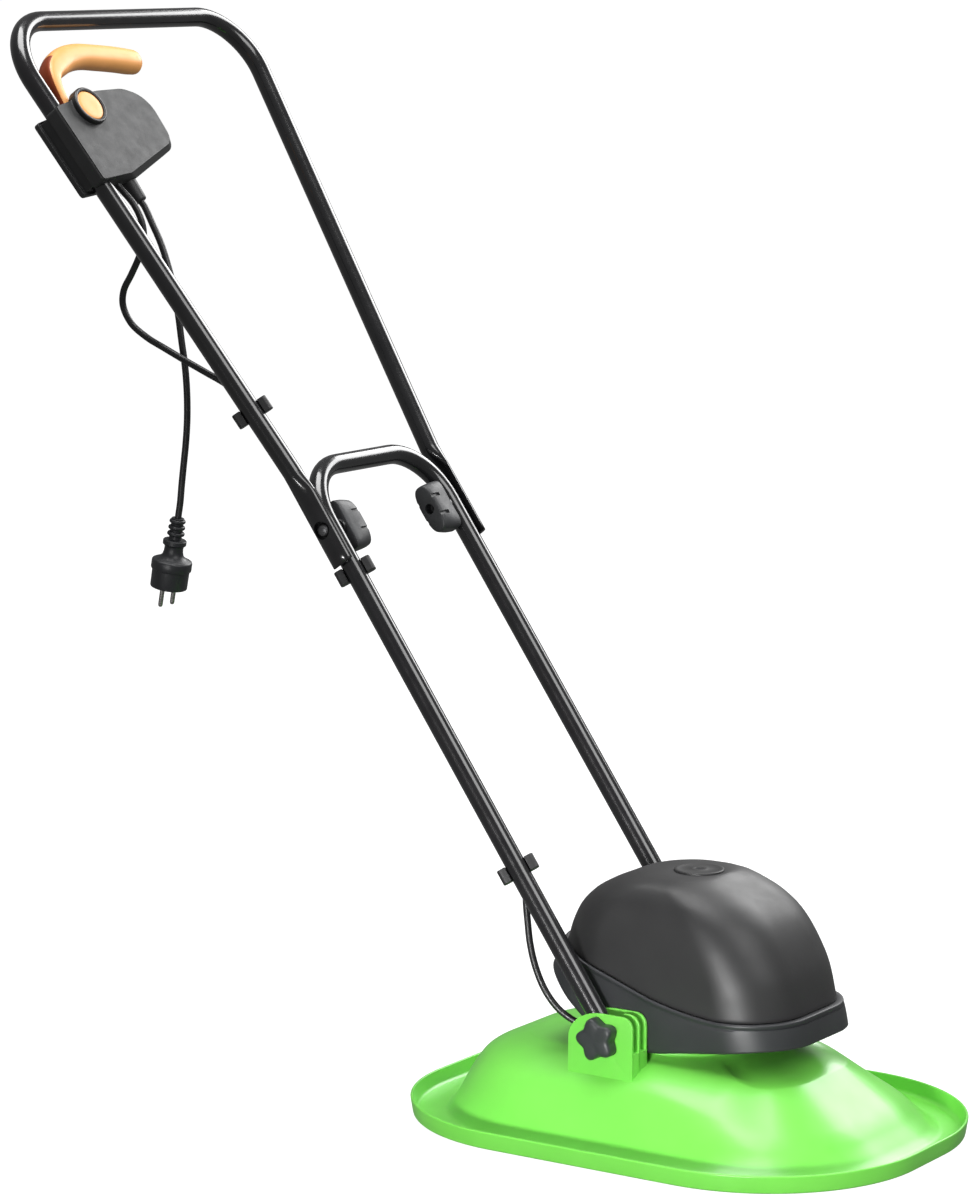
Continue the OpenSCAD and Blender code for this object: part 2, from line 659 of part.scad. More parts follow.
// Motor and tray
plate_z = collar_top;
pillar_z = plate_z + motor_plate_t;
tray_z = pillar_z + pillar_h;
pillar_ring_r = intake_r - pillar_r;
rim_inner_r = pillar_ring_r - pillar_r;
seat_z = tray_z + tray_t;
stator_z = seat_z + stator_seat_h;
stator_top = stator_z + stator_l;
bearing_z = plate_z - motor_hub_drop + bracket_t / 2;
bracket_plate_z = stator_top + bracket_t + bracket_leg_h;
upper_hub_h = upper_bearing_h + bracket_t;
upper_hub_top = bracket_plate_z + upper_hub_h;
tray_screw_r = 1.8;
tray_screw_l = 9;
tray_screw_head_r = 3.4;
tray_screw_head_h = 2.4;
module tube_of(r, bore, h) linear_extrude(h) difference() { circle(r); circle(bore); }
module plate_outline() {
    difference() {
        circle(collar_r);
        circle(rim_inner_r);
    }
    circle(motor_hub_r);
    four(0) translate([motor_hub_r / 2, -motor_arm_w / 2])
        square([rim_inner_r - motor_hub_r / 2 + over, motor_arm_w]);
}
module motor_plate()
    color([.7, .7, .72]) placed() {
        difference() {
            union() {
                translate([0, 0, plate_z]) linear_extrude(motor_plate_t) plate_outline();
                translate([0, 0, plate_z - motor_hub_drop])
                    cylinder(r = motor_hub_r, h = motor_hub_drop + motor_plate_t / 2);
                four(pillar_ring_r) translate([0, 0, plate_z + motor_plate_t / 2])
                    cylinder(r = pillar_r, h = motor_plate_t / 2 + pillar_h);
            }
            translate([0, 0, plate_z - motor_hub_drop - over])
                cylinder(r = lower_bearing_r - bracket_t / 2, h = motor_hub_drop + over);
            translate([0, 0, bearing_z])
                cylinder(r = lower_bearing_r + run_gap, h = motor_hub_drop + motor_plate_t);
            four(screw_ring_r) translate([0, 0, plate_z - over])
                cylinder(r = plate_screw_r + screw_gap, h = motor_plate_t + 2 * over);
            four(pillar_ring_r) translate([0, 0, tray_z - tray_screw_l])
                cylinder(r = tray_screw_r + screw_gap, h = tray_screw_l + over);
        }
    }
module plate_screws()
    color([.6, .6, .62]) placed() four(screw_ring_r) translate([0, 0, plate_z]) {
        translate([0, 0, motor_plate_t]) cylinder(r = plate_screw_head_r, h = plate_screw_head_h);
        translate([0, 0, cap_edge - collar_h]) cylinder(r = plate_screw_r, h = collar_h + motor_plate_t);
    }
tray_half_w = skirt_half_w - hood_wall - tray_gap;
tray_rear_r = 12;
tray_front_r = 44;
grommet_x = -40;
grommet_y = -60;
grommet_r = 6;
module tray_outline()
    polygon(ring_of(-tray_rear, tray_front, tray_half_w, tray_rear_r, tray_front_r));
module motor_tray()
    color([.15, .15, .16]) placed() translate([0, 0, tray_z]) {
        linear_extrude(tray_t) difference() {
            tray_outline();
            circle(stator_bore_r);
            four(pillar_ring_r) circle(tray_screw_r + screw_gap);
            translate([grommet_x, grommet_y]) circle(grommet_r + run_gap);
        }
        translate([0, 0, tray_t]) tube_of(stator_r, stator_r - seat_w, stator_seat_h);
    }
module tray_screws()
    color([.6, .6, .62]) placed() four(pillar_ring_r) translate([0, 0, seat_z]) {
        cylinder(r = tray_screw_head_r, h = tray_screw_head_h);
        translate([0, 0, -tray_screw_l]) cylinder(r = tray_screw_r, h = tray_screw_l);
    }
field_slot_w = 14;
module stator()
    color([.45, .45, .47]) placed() translate([0, 0, stator_z]) linear_extrude(stator_l) difference() {
        circle(stator_r);
        circle(stator_bore_r);
        for (a = [0, 90, 180, 270]) rotate([0, 0, a + 45]) translate([stator_bore_r, 0])
            circle(field_slot_w / 2);
    }
leg_depth_share = .9;
post_z = upper_hub_top + bracket_t / 2;
post_top = hood_top_z - hood_wall - seam_gap;
module motor_bracket()
    color([.62, .62, .64]) placed() difference() {
        union() {
            translate([0, 0, stator_top]) tube_of(stator_r, stator_r - seat_w, bracket_t);
            for (a = [0, 90, 180, 270]) rotate([0, 0, a])
                translate([stator_r - seat_w, -bracket_leg_w / 2, stator_top + bracket_t / 2])
                    cube([seat_w * leg_depth_share, bracket_leg_w, bracket_leg_h + bracket_t]);
            translate([0, 0, bracket_plate_z]) cylinder(r = stator_r, h = bracket_t);
            translate([0, 0, bracket_plate_z])
                cylinder(r = upper_bearing_r + bracket_t, h = upper_hub_h + bracket_t);
            translate([cap_x, 0, post_z]) cylinder(r = pillar_r, h = post_top - post_z);
        }
        translate([0, 0, bracket_plate_z - over])
            cylinder(r = shaft_r + bracket_t / 2, h = bracket_t + 2 * over);
        translate([0, 0, bracket_plate_z + bracket_t])
            cylinder(r = upper_bearing_r + run_gap, h = upper_bearing_h);
        translate([cap_x, 0, hood_top_z - hood_screw_l])
            cylinder(r = hood_screw_r + screw_gap, h = hood_screw_l);
    }
module lower_bearing()
    color([.8, .8, .82]) placed() translate([0, 0, bearing_z])
        tube_of(lower_bearing_r, shaft_r + run_gap, lower_bearing_h);
module upper_bearing()
    color([.8, .8, .82]) placed() translate([0, 0, bracket_plate_z + bracket_t])
        tube_of(upper_bearing_r, shaft_r + run_gap, upper_bearing_h);
commutator_z = stator_top + bracket_t + commutator_r / 2;
brush_z = commutator_z + (commutator_l - brush_h) / 2;
holder_wall = 2;
holder_in = commutator_r + holder_wall;
holder_out = stator_r - seat_w - screw_gap;
module brush_pair() for (a = [90, 270]) rotate([0, 0, a]) children();
module brush_holders()
    color([.5, .4, .2]) placed() brush_pair() difference() {
        translate([holder_in, -brush_w / 2 - holder_wall, brush_z - holder_wall])
            cube([holder_out - holder_in, brush_w + 2 * holder_wall, brush_h + 2 * holder_wall]);
        translate([holder_in - over, -brush_w / 2 - screw_gap, brush_z - screw_gap])
            cube([holder_out - holder_in - holder_wall + over, brush_w + 2 * screw_gap,
                brush_h + 2 * screw_gap]);
    }
brush_l_share = .55;
module carbon_brushes()
    color([.12, .12, .13]) placed() brush_pair()
        translate([commutator_r + tray_gap, -brush_w / 2, brush_z])
            cube([(holder_out - commutator_r) * brush_l_share, brush_w, brush_h]);
block_l = 26;
block_w = 16;
block_h = 13;
block_x = -53;
block_y = 52;
module terminal_block()
    color([.85, .85, .8]) placed() translate([block_x, block_y, seat_z]) difference() {
        cube([block_w, block_l, block_h]);
        for (f = [.25, .75]) translate([block_w / 2, block_l * f, block_h / 2])
            cylinder(r = hood_screw_r, h = block_h);
    }
module cable_grommet()
    color([.1, .1, .1]) placed() translate([grommet_x, grommet_y, tray_z]) {
        tube_of(grommet_r, cable_r + run_gap, tray_t);
        translate([0, 0, tray_t]) tube_of(grommet_r + holder_wall, cable_r + run_gap, holder_wall);
    }

// Rotating parts
blade_top = blade_z + blade_t;
shaft_top = bracket_plate_z + bracket_t + upper_bearing_h;
module shaft()
    color([.75, .75, .77]) placed() difference() {
        translate([0, 0, blade_top]) cylinder(r = shaft_r, h = shaft_top - blade_top);
        translate([0, 0, blade_top - over]) cylinder(r = bolt_r + screw_gap, h = bolt_depth + over);
    }
winding_share = .82;
winding_h = 5;
armature_z = stator_z + air_gap;
armature_l = stator_l - 2 * air_gap;
module armature()
    color([.6, .35, .2]) placed() translate([0, 0, armature_z]) {
        tube_of(stator_bore_r - air_gap, shaft_r, armature_l);
        translate([0, 0, -winding_h]) tube_of((stator_bore_r - air_gap) * winding_share, shaft_r, winding_h);
        translate([0, 0, armature_l]) tube_of((stator_bore_r - air_gap) * winding_share, shaft_r, winding_h);
    }
module commutator()
    color([.8, .5, .3]) placed() translate([0, 0, commutator_z]) tube_of(commutator_r, shaft_r, commutator_l);
vane_from_share = .3;
vane_z = impeller_z - vane_h;
spacer_h = vane_z - blade_top;
impeller_hub_top = plate_z - motor_hub_drop - impeller_t;
module vane()
    intersection() {
        translate([impeller_r * root_share, -vane_bend_r]) difference() {
            circle(vane_bend_r);
            circle(vane_bend_r - vane_t);
        }
        difference() {
            circle(impeller_r - vane_t);
            circle(impeller_r * vane_from_share);
        }
        translate([0, -impeller_r]) square([impeller_r, 2 * impeller_r]);
    }
module impeller()
    color([.16, .16, .17]) placed() {
        translate([0, 0, impeller_z]) tube_of(impeller_r, shaft_r, impeller_t);
        translate([0, 0, vane_z]) tube_of(impeller_hub_r, shaft_r, impeller_hub_top - vane_z);
        translate([0, 0, vane_z]) linear_extrude(vane_h)
            for (k = [0:vane_count - 1]) rotate([0, 0, 360 * k / vane_count]) vane();
    }
module blade_spacer()
    color([.85, .7, .15]) placed() translate([0, 0, blade_top]) tube_of(impeller_hub_r, shaft_r, spacer_h);
blade_root_share = .62;
blade_hole_r = bolt_r + screw_gap;
module blade()
    color([.7, .7, .72]) placed() translate([0, 0, blade_z]) linear_extrude(blade_t) difference() {
        intersection() {
            circle(blade_r);
            polygon([[-blade_r, -blade_w / 2], [-blade_r * root_share, -blade_w / 2],
                [0, -blade_w * blade_root_share],
                [blade_r * root_share, -blade_w / 2], [blade_r, -blade_w / 2], [blade_r, blade_w / 2],
                [blade_r * root_share, blade_w / 2], [0, blade_w * blade_root_share],
                [-blade_r * root_share, blade_w / 2], [-blade_r, blade_w / 2]]);
        }
        circle(blade_hole_r);
    }
module blade_washer()
    color([.8, .8, .8]) placed() translate([0, 0, blade_z - washer_t])
        tube_of(washer_r, blade_hole_r, washer_t);
module blade_bolt()
    color([.55, .55, .57]) placed() translate([0, 0, blade_z - washer_t]) {
        translate([0, 0, -bolt_head_h]) cylinder(r = bolt_head_r, h = bolt_head_h, $fn = 6);
        translate([0, 0, -cap_edge]) cylinder(r = bolt_r, h = washer_t + blade_t + bolt_depth);
    }

// Lower handle
leg_top = lower_bar - lower_bend_r;
module bend(y, s, r_bend, from, turn, r)
    translate([0, y, s]) rotate(120, [1, 1, 1]) rotate([0, 0, from])
        rotate_extrude(angle = turn) translate([r_bend, 0]) circle(r);
module lower_run(r, extra) {
    both_sides() translate([0, leg_y, -leg_end - extra]) cylinder(r = r, h = leg_top + leg_end + extra);
    bend(leg_y - lower_bend_r, leg_top, lower_bend_r, 0, 90, r);
    bend(lower_bend_r - leg_y, leg_top, lower_bend_r, 90, 90, r);
    translate([0, lower_bend_r - leg_y, lower_bar]) rotate([-90, 0, 0])
        cylinder(r = r, h = 2 * (leg_y - lower_bend_r));
}
module cross_hole(s, r) translate([0, 0, s]) rotate([90, 0, 0])
    cylinder(r = r, h = deck_width, center = true);
module lower_handle()
    color([.08, .08, .08]) on_handle() difference() {
        lower_run(tube_r, 0);
        lower_run(tube_r - tube_wall, over);
        cross_hole(0, stud_r + stud_gap);
        cross_hole(fold_at, stud_r + stud_gap);
    }

// Upper handle
flat_y = leg_y + tube_r + fold_gap;
flat_from = fold_at - flat_reach;
flat_to = fold_at + flat_reach;
flare_start = flat_to + flat_blend;
arc_s = top_bar - upper_bend_r;
flare_end = arc_s - upper_bend_r * sin(flare);
flare_end_y = flare_start_y + (flare_end - flare_start) * tan(flare);
arc_y = flare_end_y - upper_bend_r * cos(flare);
// Rings of the bent tube: round from the flare on, flat on the inner side at the bolted ends
tube_sides = 24;
flat_crown = 0.04;
turn_steps = 5;
bend_steps = 10;
function flat_ring(w, end) =
    [for (k = [0:tube_sides - 1])
        let (a = 360 * k / tube_sides, up = max(sin(a), 0), down = min(sin(a), 0))
        [(flat_half_w - w) * cos(a), flat_y + w + (flat_t - 2 * w) * up + flat_crown * down,
            end ? flat_from : flat_to]];
function round_tube_ring(y, s, r, dir) =
    [for (k = [0:tube_sides - 1]) let (a = 360 * k / tube_sides)
        [r * cos(a), y + r * sin(a) * cos(dir), s + r * sin(a) * sin(dir)]];
function turn_ring(w, f) =
    let (p = flat_ring(w, false), q = round_tube_ring(flare_start_y, flare_start, tube_r - w, -flare),
        e = ease(f))
    [for (k = [0:tube_sides - 1])
        let (d = q[k] - p[k]) [p[k][0] + d[0] * e, p[k][1] + d[1] * e, p[k][2] + d[2] * f]];
function bend_ring(w, a) =
    round_tube_ring(arc_y + upper_bend_r * cos(a), arc_s + upper_bend_r * sin(a), tube_r - w, a);
function half_rows(w) = concat(
    [flat_ring(w, true)],
    [for (j = [0:turn_steps]) turn_ring(w, j / turn_steps)],
    [for (j = [0:bend_steps]) bend_ring(w, (90 + flare) * j / bend_steps - flare)]);
function mirrored(rows) = [for (j = [len(rows) - 1:-1:0]) [for (p = rows[j]) [p[0], -p[1], p[2]]]];
function reversed(rows) = [for (j = [len(rows) - 1:-1:0]) rows[j]];
function full_rows(w) = let (rows = half_rows(w)) concat(rows, mirrored(rows));
module at_fold(side) on_handle() translate([0, 0, fold_at]) scale([1, side, 1]) rotate([-90, 0, 0])
    children();
module upper_handle()
    color([.08, .08, .08]) difference() {
        on_handle() loop_solid(concat(reversed(full_rows(0)), full_rows(tube_wall)));
        on_handle() cross_hole(fold_at, stud_r + stud_gap);
        for (side = [-1, 1]) at_fold(side) translate([0, 0, flat_y + 2 * tube_wall])
            cylinder(r = dome_r + seat_gap, h = flat_t);
    }

// Knobs, studs and bolts
star_points = 60;
star_lobes = 5;
star_y = outer_plate_y + plate_t + star_gap;
star_rim = 2.5;
function star(grow) =
    [for (k = [0:star_points - 1]) let (a = 360 * k / star_points)
        (star_r + grow + star_lobe * cos(star_lobes * a)) * [cos(a), sin(a)]];
module at_pivot(side) on_handle() scale([1, side, 1]) rotate([-90, 0, 0]) children();
module pivot_knob(side)
    color([.07, .07, .07]) at_pivot(side) {
        translate([0, 0, star_y]) linear_extrude(star_t - star_rim) difference() {
            polygon(star(0));
            circle(stud_r);
        }
        translate([0, 0, star_y + star_t - star_rim]) linear_extrude(star_rim) polygon(star(-star_rim / 2));
    }
module pivot_stud(side)
    color([.6, .6, .62]) at_pivot(side) translate([0, 0, inner_plate_y])
        cylinder(r = stud_r, h = star_y + star_t - star_rim - inner_plate_y);
module pivot_knob_right() pivot_knob(-1);
module pivot_knob_left() pivot_knob(1);
module pivot_stud_right() pivot_stud(-1);
module pivot_stud_left() pivot_stud(1);

// Fold knobs: a long grip in two tiers, notched along the outer one, on a short boss
wing_y = leg_y - tube_r - star_gap - boss_l;
wing_root_share = .6;
wing_tip_share = .88;
wing_corner_share = .6;
notch_at_share = .38;
recess_r = 5.5;
function wing(f) = let (w = wing_half_w * f, l = wing_half_l - wing_half_w * (1 - f),
    r = w * wing_corner_share)
    rounded([[-w, -l], [w, -l], [w, l], [-w, l]], [r, r, r, r]);
module fold_knob(side)
    color([.3, .31, .33]) at_fold(side) {
        translate([0, 0, wing_y - wing_t * wing_root_share]) linear_extrude(wing_t * wing_root_share)
            difference() {
            polygon(wing(1));
            circle(stud_r + stud_gap);
        }
        translate([0, 0, wing_y - wing_t]) linear_extrude(wing_t * (1 - wing_root_share)) difference() {
            polygon(wing(wing_tip_share));
            circle(recess_r);
            for (i = [-1, 1]) for (j = [-1, 1])
                translate([i * wing_half_w * wing_tip_share, j * wing_half_l * notch_at_share])
                    circle(notch_r);
        }
        translate([0, 0, wing_y]) tube_of(boss_r, stud_r + stud_gap, boss_l);
    }
module fold_knob_right() fold_knob(-1);
module fold_knob_left() fold_knob(1);
dome_steps = 6;
head_y = flat_y + tube_wall + flat_crown;
module fold_bolts()
    color([.2, .2, .21]) for (side = [-1, 1]) at_fold(side) {
        translate([0, 0, head_y]) rotate_extrude() polygon(concat([[0, 0]],
            [for (i = [0:dome_steps]) [dome_r * cos(90 * i / dome_steps),
                dome_h * sin(90 * i / dome_steps)]]));
        translate([0, 0, wing_y - wing_t * wing_root_share])
            cylinder(r = stud_r, h = head_y - wing_y + wing_t * wing_root_share + dome_h * root_share);
    }

// Cable clips
clip_mid = flat_from - clip_l / 2 - clip_mid_gap;
clip_up = flare_start + clip_up_rise;
cable_off = tube_r + cable_gap + cable_r;
band_r = tube_r + grip_gap;
ear_share = .3;
ear_corner = 4;
ear_low = -ear_w * ear_share;
ear_outline = [[-ear_reach, ear_low], [ear_reach, ear_low], [ear_reach, ear_low + ear_w],
    [-ear_reach, ear_low + ear_w]];
ear_radii = [for (p = ear_outline) ear_corner];
module clip_shape()
    rotate([0, 0, clip_turn]) difference() {
        union() {
            circle(band_r + clip_t);
            translate([0, cable_off]) circle(cable_r + grip_gap + clip_t);
            polygon(rounded(ear_outline, ear_radii));
        }
        circle(band_r);
        translate([0, cable_off]) circle(cable_r + grip_gap);
        translate([-ear_reach, -ear_w * ear_share - deck_width]) square([2 * ear_reach, deck_width]);
        translate([-band_r, -deck_width]) square([2 * band_r, deck_width]);
    }
module clip_at(s, y, turn)
    on_handle() translate([0, y, s]) rotate([turn, 0, 0]) translate([0, 0, -clip_l / 2])
        linear_extrude(clip_l) clip_shape();
module cable_clips()
    color([.1, .1, .1]) {
        clip_at(clip_low, -leg_y, 0);
        clip_at(clip_mid, -leg_y, 0);
    }
function flare_y(s) = flare_start_y + (s - flare_start) * tan(flare);
module upper_clip() color([.1, .1, .1]) clip_at(clip_up, -flare_y(clip_up), flare);

// Switch box: y runs inward from the tube, z runs up the tube
switch_y = flare_y(switch_at);
module on_switch() on_handle() translate([0, -switch_y, switch_at]) rotate([flare, 0, 0]) children();
function switch_point(n, v, t) =
    handle_point(n, v * cos(flare) - t * sin(flare) - switch_y, switch_at + v * sin(flare) + t * cos(flare));
// Corner shares of the outline, of reach inward and of height above or below the centre
outline_shares = [[0, -.95], [.245, -1], [.96, -.5], [1, .6], [.77, .9], [.42, 1], [0, .9]];
outline_r_shares = [.03, .1, .12, .24, .3, .6, .03];
box_outline = [for (p = outline_shares)
    [p[0] == 0 ? -grip_half_w : p[0] * box_reach, p[1] < 0 ? p[1] * box_bottom : p[1] * box_top]];
box_radii = [for (f = outline_r_shares) f * box_reach];
core_outline = inset(box_outline, box_wall);
core_radii = [for (f = outline_r_shares) max(f * box_reach - box_wall, box_wall / 2)];
cavity_from = tube_r + grip_gap + box_wall;
module outline_2d() polygon(rounded(box_outline, box_radii));
module core_2d() intersection() {
    polygon(rounded(core_outline, core_radii));
    translate([cavity_from, -deck_width / 2]) square([deck_width, deck_width]);
}
module tube_bore(r) translate([0, 0, -box_reach]) cylinder(r = r, h = 2 * box_reach);
flank_r = 4;
lever_pin_in = 22;
lever_pin_up = 44;
slot_from = 9;
slot_w = 31;
slot_gap = 1.2;
button_t = 5;
button_face = front_depth + ring_h - cap_edge;
button_back = button_face - button_t;
ring_from = button_back - button_travel - slot_gap;
lever_n = -lever_set;
lever_back = lever_n - lever_half_t;
lever_face = lever_n + lever_half_t;
screw_spots = [[22, -28], [100, -12], [92, 30], [60, 40]];
post_r = 4;
box_screw_r = 1.5;
box_screw_head_r = 3;
box_screw_head_h = 2;
box_screw_reach = 10;
outlet_r = cable_r + grip_gap;
gland_neck_r = gland_tip_r;
module at_face(v, t, n) facing(n) translate([v, t, 0]) children();
module top_slot()
    translate([lever_back - slot_gap, slot_from, lever_pin_up])
        cube([lever_face - lever_back + 2 * slot_gap, slot_w, box_top]);
module outlets() {
    translate([0, outlet_in, -box_reach]) cylinder(r = outlet_r, h = box_reach - box_bottom / 2);
    translate([0, gland_in, -box_reach]) cylinder(r = gland_neck_r + run_gap, h = box_reach - box_bottom / 2);
}
module switch_housing()
    color([.27, .28, .29]) on_switch() difference() {
        union() {
            difference() {
                facing(0) linear_extrude(front_depth) outline_2d();
                facing(-over) linear_extrude(front_depth - box_wall + over) core_2d();
                difference() {
                    translate([front_depth - flank_r, -grip_half_w - over, -box_reach])
                        cube([flank_r + over, flank_r + over, 2 * box_reach]);
                    translate([front_depth - flank_r, flank_r - grip_half_w, 0]) tube_bore(flank_r);
                }
            }
            at_face(button_in, button_up, ring_from)
                cylinder(r = ring_r, h = front_depth + ring_h - ring_from);
            for (p = screw_spots) at_face(p[0], p[1], 0) cylinder(r = post_r, h = front_depth - box_wall / 2);
        }
        tube_bore(tube_r + grip_gap);
        at_face(button_in, button_up, ring_from - over) cylinder(r = button_r + button_gap, h = deck_width);
        for (p = screw_spots) at_face(p[0], p[1], -over)
            cylinder(r = box_screw_r + screw_gap, h = box_screw_reach + 2 * over);
        top_slot();
        outlets();
    }
rear_inset = 3;
rear_outline = inset(box_outline, rear_inset);
rear_core = inset(box_outline, rear_inset + box_wall);
module switch_cover()
    color([.25, .26, .27]) on_switch() difference() {
        union() {
            facing(-rear_depth) linear_extrude(rear_plate_t) outline_2d();
            facing(rear_plate_t - rear_depth) linear_extrude(rear_depth - rear_plate_t)
                polygon(rounded(rear_outline, core_radii));
        }
        difference() {
            facing(box_wall - rear_depth) linear_extrude(rear_depth) intersection() {
                polygon(rounded(rear_core, core_radii));
                translate([cavity_from, -deck_width / 2]) square([deck_width, deck_width]);
            }
            for (p = screw_spots) at_face(p[0], p[1], -rear_depth) cylinder(r = post_r, h = rear_depth);
        }
        tube_bore(tube_r + grip_gap);
        for (p = screw_spots) at_face(p[0], p[1], -rear_depth - over) {
            cylinder(r = box_screw_r + screw_gap, h = rear_depth + 2 * over);
            cylinder(r = box_screw_head_r + screw_gap, h = box_screw_head_h + over);
        }
        top_slot();
        outlets();
    }
module switch_screws()
    color([.5, .5, .52]) on_switch() for (p = screw_spots)
        at_face(p[0], p[1], box_screw_head_h - rear_depth) {
        translate([0, 0, -box_screw_head_h]) cylinder(r = box_screw_head_r, h = box_screw_head_h);
        cylinder(r = box_screw_r, h = rear_depth - box_screw_head_h + box_screw_reach);
    }

// Lever: route across and up the handle, chosen by eye, with the shares of full width and depth at each point
lever_route = [[-162, 1058], [-163, 1072], [-162, 1086], [-155, 1099], [-140, 1109], [-122, 1116],
    [-100, 1119], [-72, 1117], [-44, 1114], [-24, 1111], [-14, 1110], [-9, 1109]];
lever_width_shares = [.45, .45, .5, .72, .96, 1, 1, 1, 1, 1, .93, .62];
lever_depth_shares = [.7, .85, .97, 1, 1, 1, 1, 1, 1, 1, .93, .62];
lever_round_shares = [.5, .5, .5, .55, .7, .8, .85, .85, .85, .9, .95, 1];
lever_sides = 16;
lever_last = len(lever_route) - 1;
function lever_dir(i) = unit(lever_route[min(i + 1, lever_last)] - lever_route[max(i - 1, 0)]);
function bulged(x, e) = sign(x) * pow(abs(x), e);
lever_rows = [for (i = [0:lever_last])
    let (u = lever_dir(i), e = lever_round_shares[i])
    [for (k = [0:lever_sides - 1])
        let (a = 360 * (k + .5) / lever_sides,
            w = lever_half_w * lever_width_shares[i] * bulged(cos(a), e),
            d = lever_half_t * lever_depth_shares[i] * bulged(sin(a), e))
        [lever_n + d, lever_route[i][0] - u[1] * w, lever_route[i][1] + u[0] * w]]];
lever_neck_share = .45;
lever_neck_l = 20;
module switch_lever()
    color([.95, .6, .1]) difference() {
        union() {
            on_handle() chain_solid(lever_rows);
            on_switch() at_face(lever_pin_in, lever_pin_up, lever_n - lever_hub_t / 2) {
                cylinder(r = lever_hub_r, h = lever_hub_t);
                translate([-lever_half_w * lever_neck_share, 0, 0])
                    cube([2 * lever_half_w * lever_neck_share, lever_neck_l, lever_hub_t]);
            }
        }
        on_switch() at_face(lever_pin_in, lever_pin_up, -deck_width / 2)
            cylinder(r = lever_pin_r + run_gap, h = deck_width);
    }
module lever_pin()
    color([.7, .7, .72]) on_switch() at_face(lever_pin_in, lever_pin_up, box_wall - rear_depth)
        cylinder(r = lever_pin_r, h = rear_depth - box_wall + lever_n + lever_hub_t / 2 + slot_gap);
module lock_button()
    color([.95, .6, .1]) on_switch() at_face(button_in, button_up, button_back)
        cylinder(r = button_r, h = button_t);

capacitor_in_share = .687;
capacitor_at = [box_reach * capacitor_in_share, 4];
micro_size = [12, 28, 16];
micro_gap = 6;
micro_at = [capacitor_at[0] - micro_gap - micro_size[1], -12];
cap_size_r = 8;
cap_size_l = 34;
floor_n = box_wall - rear_depth;
module micro_switch()
    color([.1, .1, .12]) on_switch() translate([floor_n, micro_at[0], micro_at[1]]) cube(micro_size);
module capacitor()
    color([.8, .75, .3]) on_switch() translate([floor_n + cap_size_r, capacitor_at[0], capacitor_at[1]])
        rotate([-90, 0, 0]) cylinder(r = cap_size_r, h = cap_size_l * root_share);

// Gland, lead and plug
gland_neck_l = 6;
module lead_gland()
    color([.1, .1, .1]) on_switch() translate([0, gland_in, -box_bottom]) {
        translate([0, 0, -gland_l]) cylinder(r1 = gland_tip_r, r2 = gland_r, h = gland_l);
        cylinder(r = gland_neck_r, h = gland_neck_l);
    }
gland_tip = switch_point(0, gland_in, -box_bottom - gland_l);
gland_run = switch_point(0, gland_in, -box_bottom - gland_l - gland_neck_l);
// Route of the hanging lead, from the deck centre, chosen by eye
lead_route = [[-553, -123, 860], [-543, -123, 842], [-534, -124, 822], [-527, -124, 800], [-521, -124, 772],
    [-517, -124, 745], [-513, -124, 720], [-511, -124, 695], [-511, -124, 668], [-513, -124, 644],
    [-516, -124, 622], [-519, -124, 600], [-521, -124, 583]];
plug_top = [-524, -124, 567];
module mains_lead()
    color([.09, .09, .09]) placed() cord(concat([gland_tip, gland_run], lead_route, [plug_top]), lead_r);
// Plug profile: radius and distance below the top, as shares of the plug radius
plug_r_shares = [.34, .36, .36, .58, .58, .47, .5, .95, 1, 1, .92, .9];
plug_l_shares = [0, .02, 1.1, 1.12, 1.36, 1.5, 1.95, 2.1, 2.15, 2.6, 2.66, 3.55];
plug_l = plug_r * tail(plug_l_shares);
module on_plug() placed() translate(plug_top) rotate([0, plug_tilt, 0]) children();
module plug_body()
    color([.09, .09, .09]) on_plug() rotate_extrude() polygon(concat([[0, 0]],
        [for (i = [0:len(plug_r_shares) - 1]) [plug_r_shares[i], -plug_l_shares[i]] * plug_r],
            [[0, -plug_l]]));
module plug_pins()
    color([.8, .75, .55]) on_plug() for (y = [-pin_pitch / 2, pin_pitch / 2])
        translate([0, y, -plug_l - pin_l]) cylinder(r = pin_r, h = pin_l);

// Motor cable in four runs
outlet = switch_point(0, outlet_in, -box_bottom);
outlet_run = switch_point(0, outlet_in, -box_bottom - gland_neck_l);
cable_n = -cable_off * sin(clip_turn);
cable_y = cable_off * cos(clip_turn);
cut_up = clip_up - clip_l / 2;
cut_mid = clip_mid + clip_l / 2;
cut_low = clip_low - clip_l / 2;
cut_up_point = handle_point(cable_n, cable_y - flare_y(cut_up), cut_up);
clip_top = clip_up + clip_l / 2 + over;
cut_up_run = handle_point(cable_n, cable_y - flare_y(clip_top), clip_top);
cut_mid_point = handle_point(cable_n, cable_y - leg_y, cut_mid);
cut_low_point = handle_point(cable_n, cable_y - leg_y, cut_low);
// Starts of the loose runs, a small gap past the cuts, and short straight lengths that square their ends
fold_up_point = handle_point(cable_n, cable_y - flare_y(cut_up - grip_gap), cut_up - grip_gap);
fold_up_run = handle_point(cable_n, cable_y - flare_y(cut_up - gland_neck_l), cut_up - gland_neck_l);
fold_mid_point = handle_point(cable_n, cable_y - leg_y, cut_mid + grip_gap);
fold_mid_run = handle_point(cable_n, cable_y - leg_y, cut_mid + gland_neck_l);
base_point = handle_point(cable_n, cable_y - leg_y, cut_low - grip_gap);
base_run = handle_point(cable_n, cable_y - leg_y, cut_low - gland_neck_l);
// Loop below the box, from the deck centre, chosen by eye
loop_route = [[-562, -141, 880], [-554, -139, 864], [-552, -138, 848], [-557, -138, 830], [-568, -138, 810],
    [-579, -137, 793], [-581, -136, 778], [-573, -134, 761], [-554, -134, 748], [-528, -137, 738],
        [-503, -136, 727],
    [-480, -132, 716], [-461, -125, 705], [-447, -120, 693]];
module motor_cable_upper()
    color([.09, .09, .09]) placed()
        cord(concat([outlet, outlet_run], loop_route, [cut_up_run, cut_up_point]), cable_r);
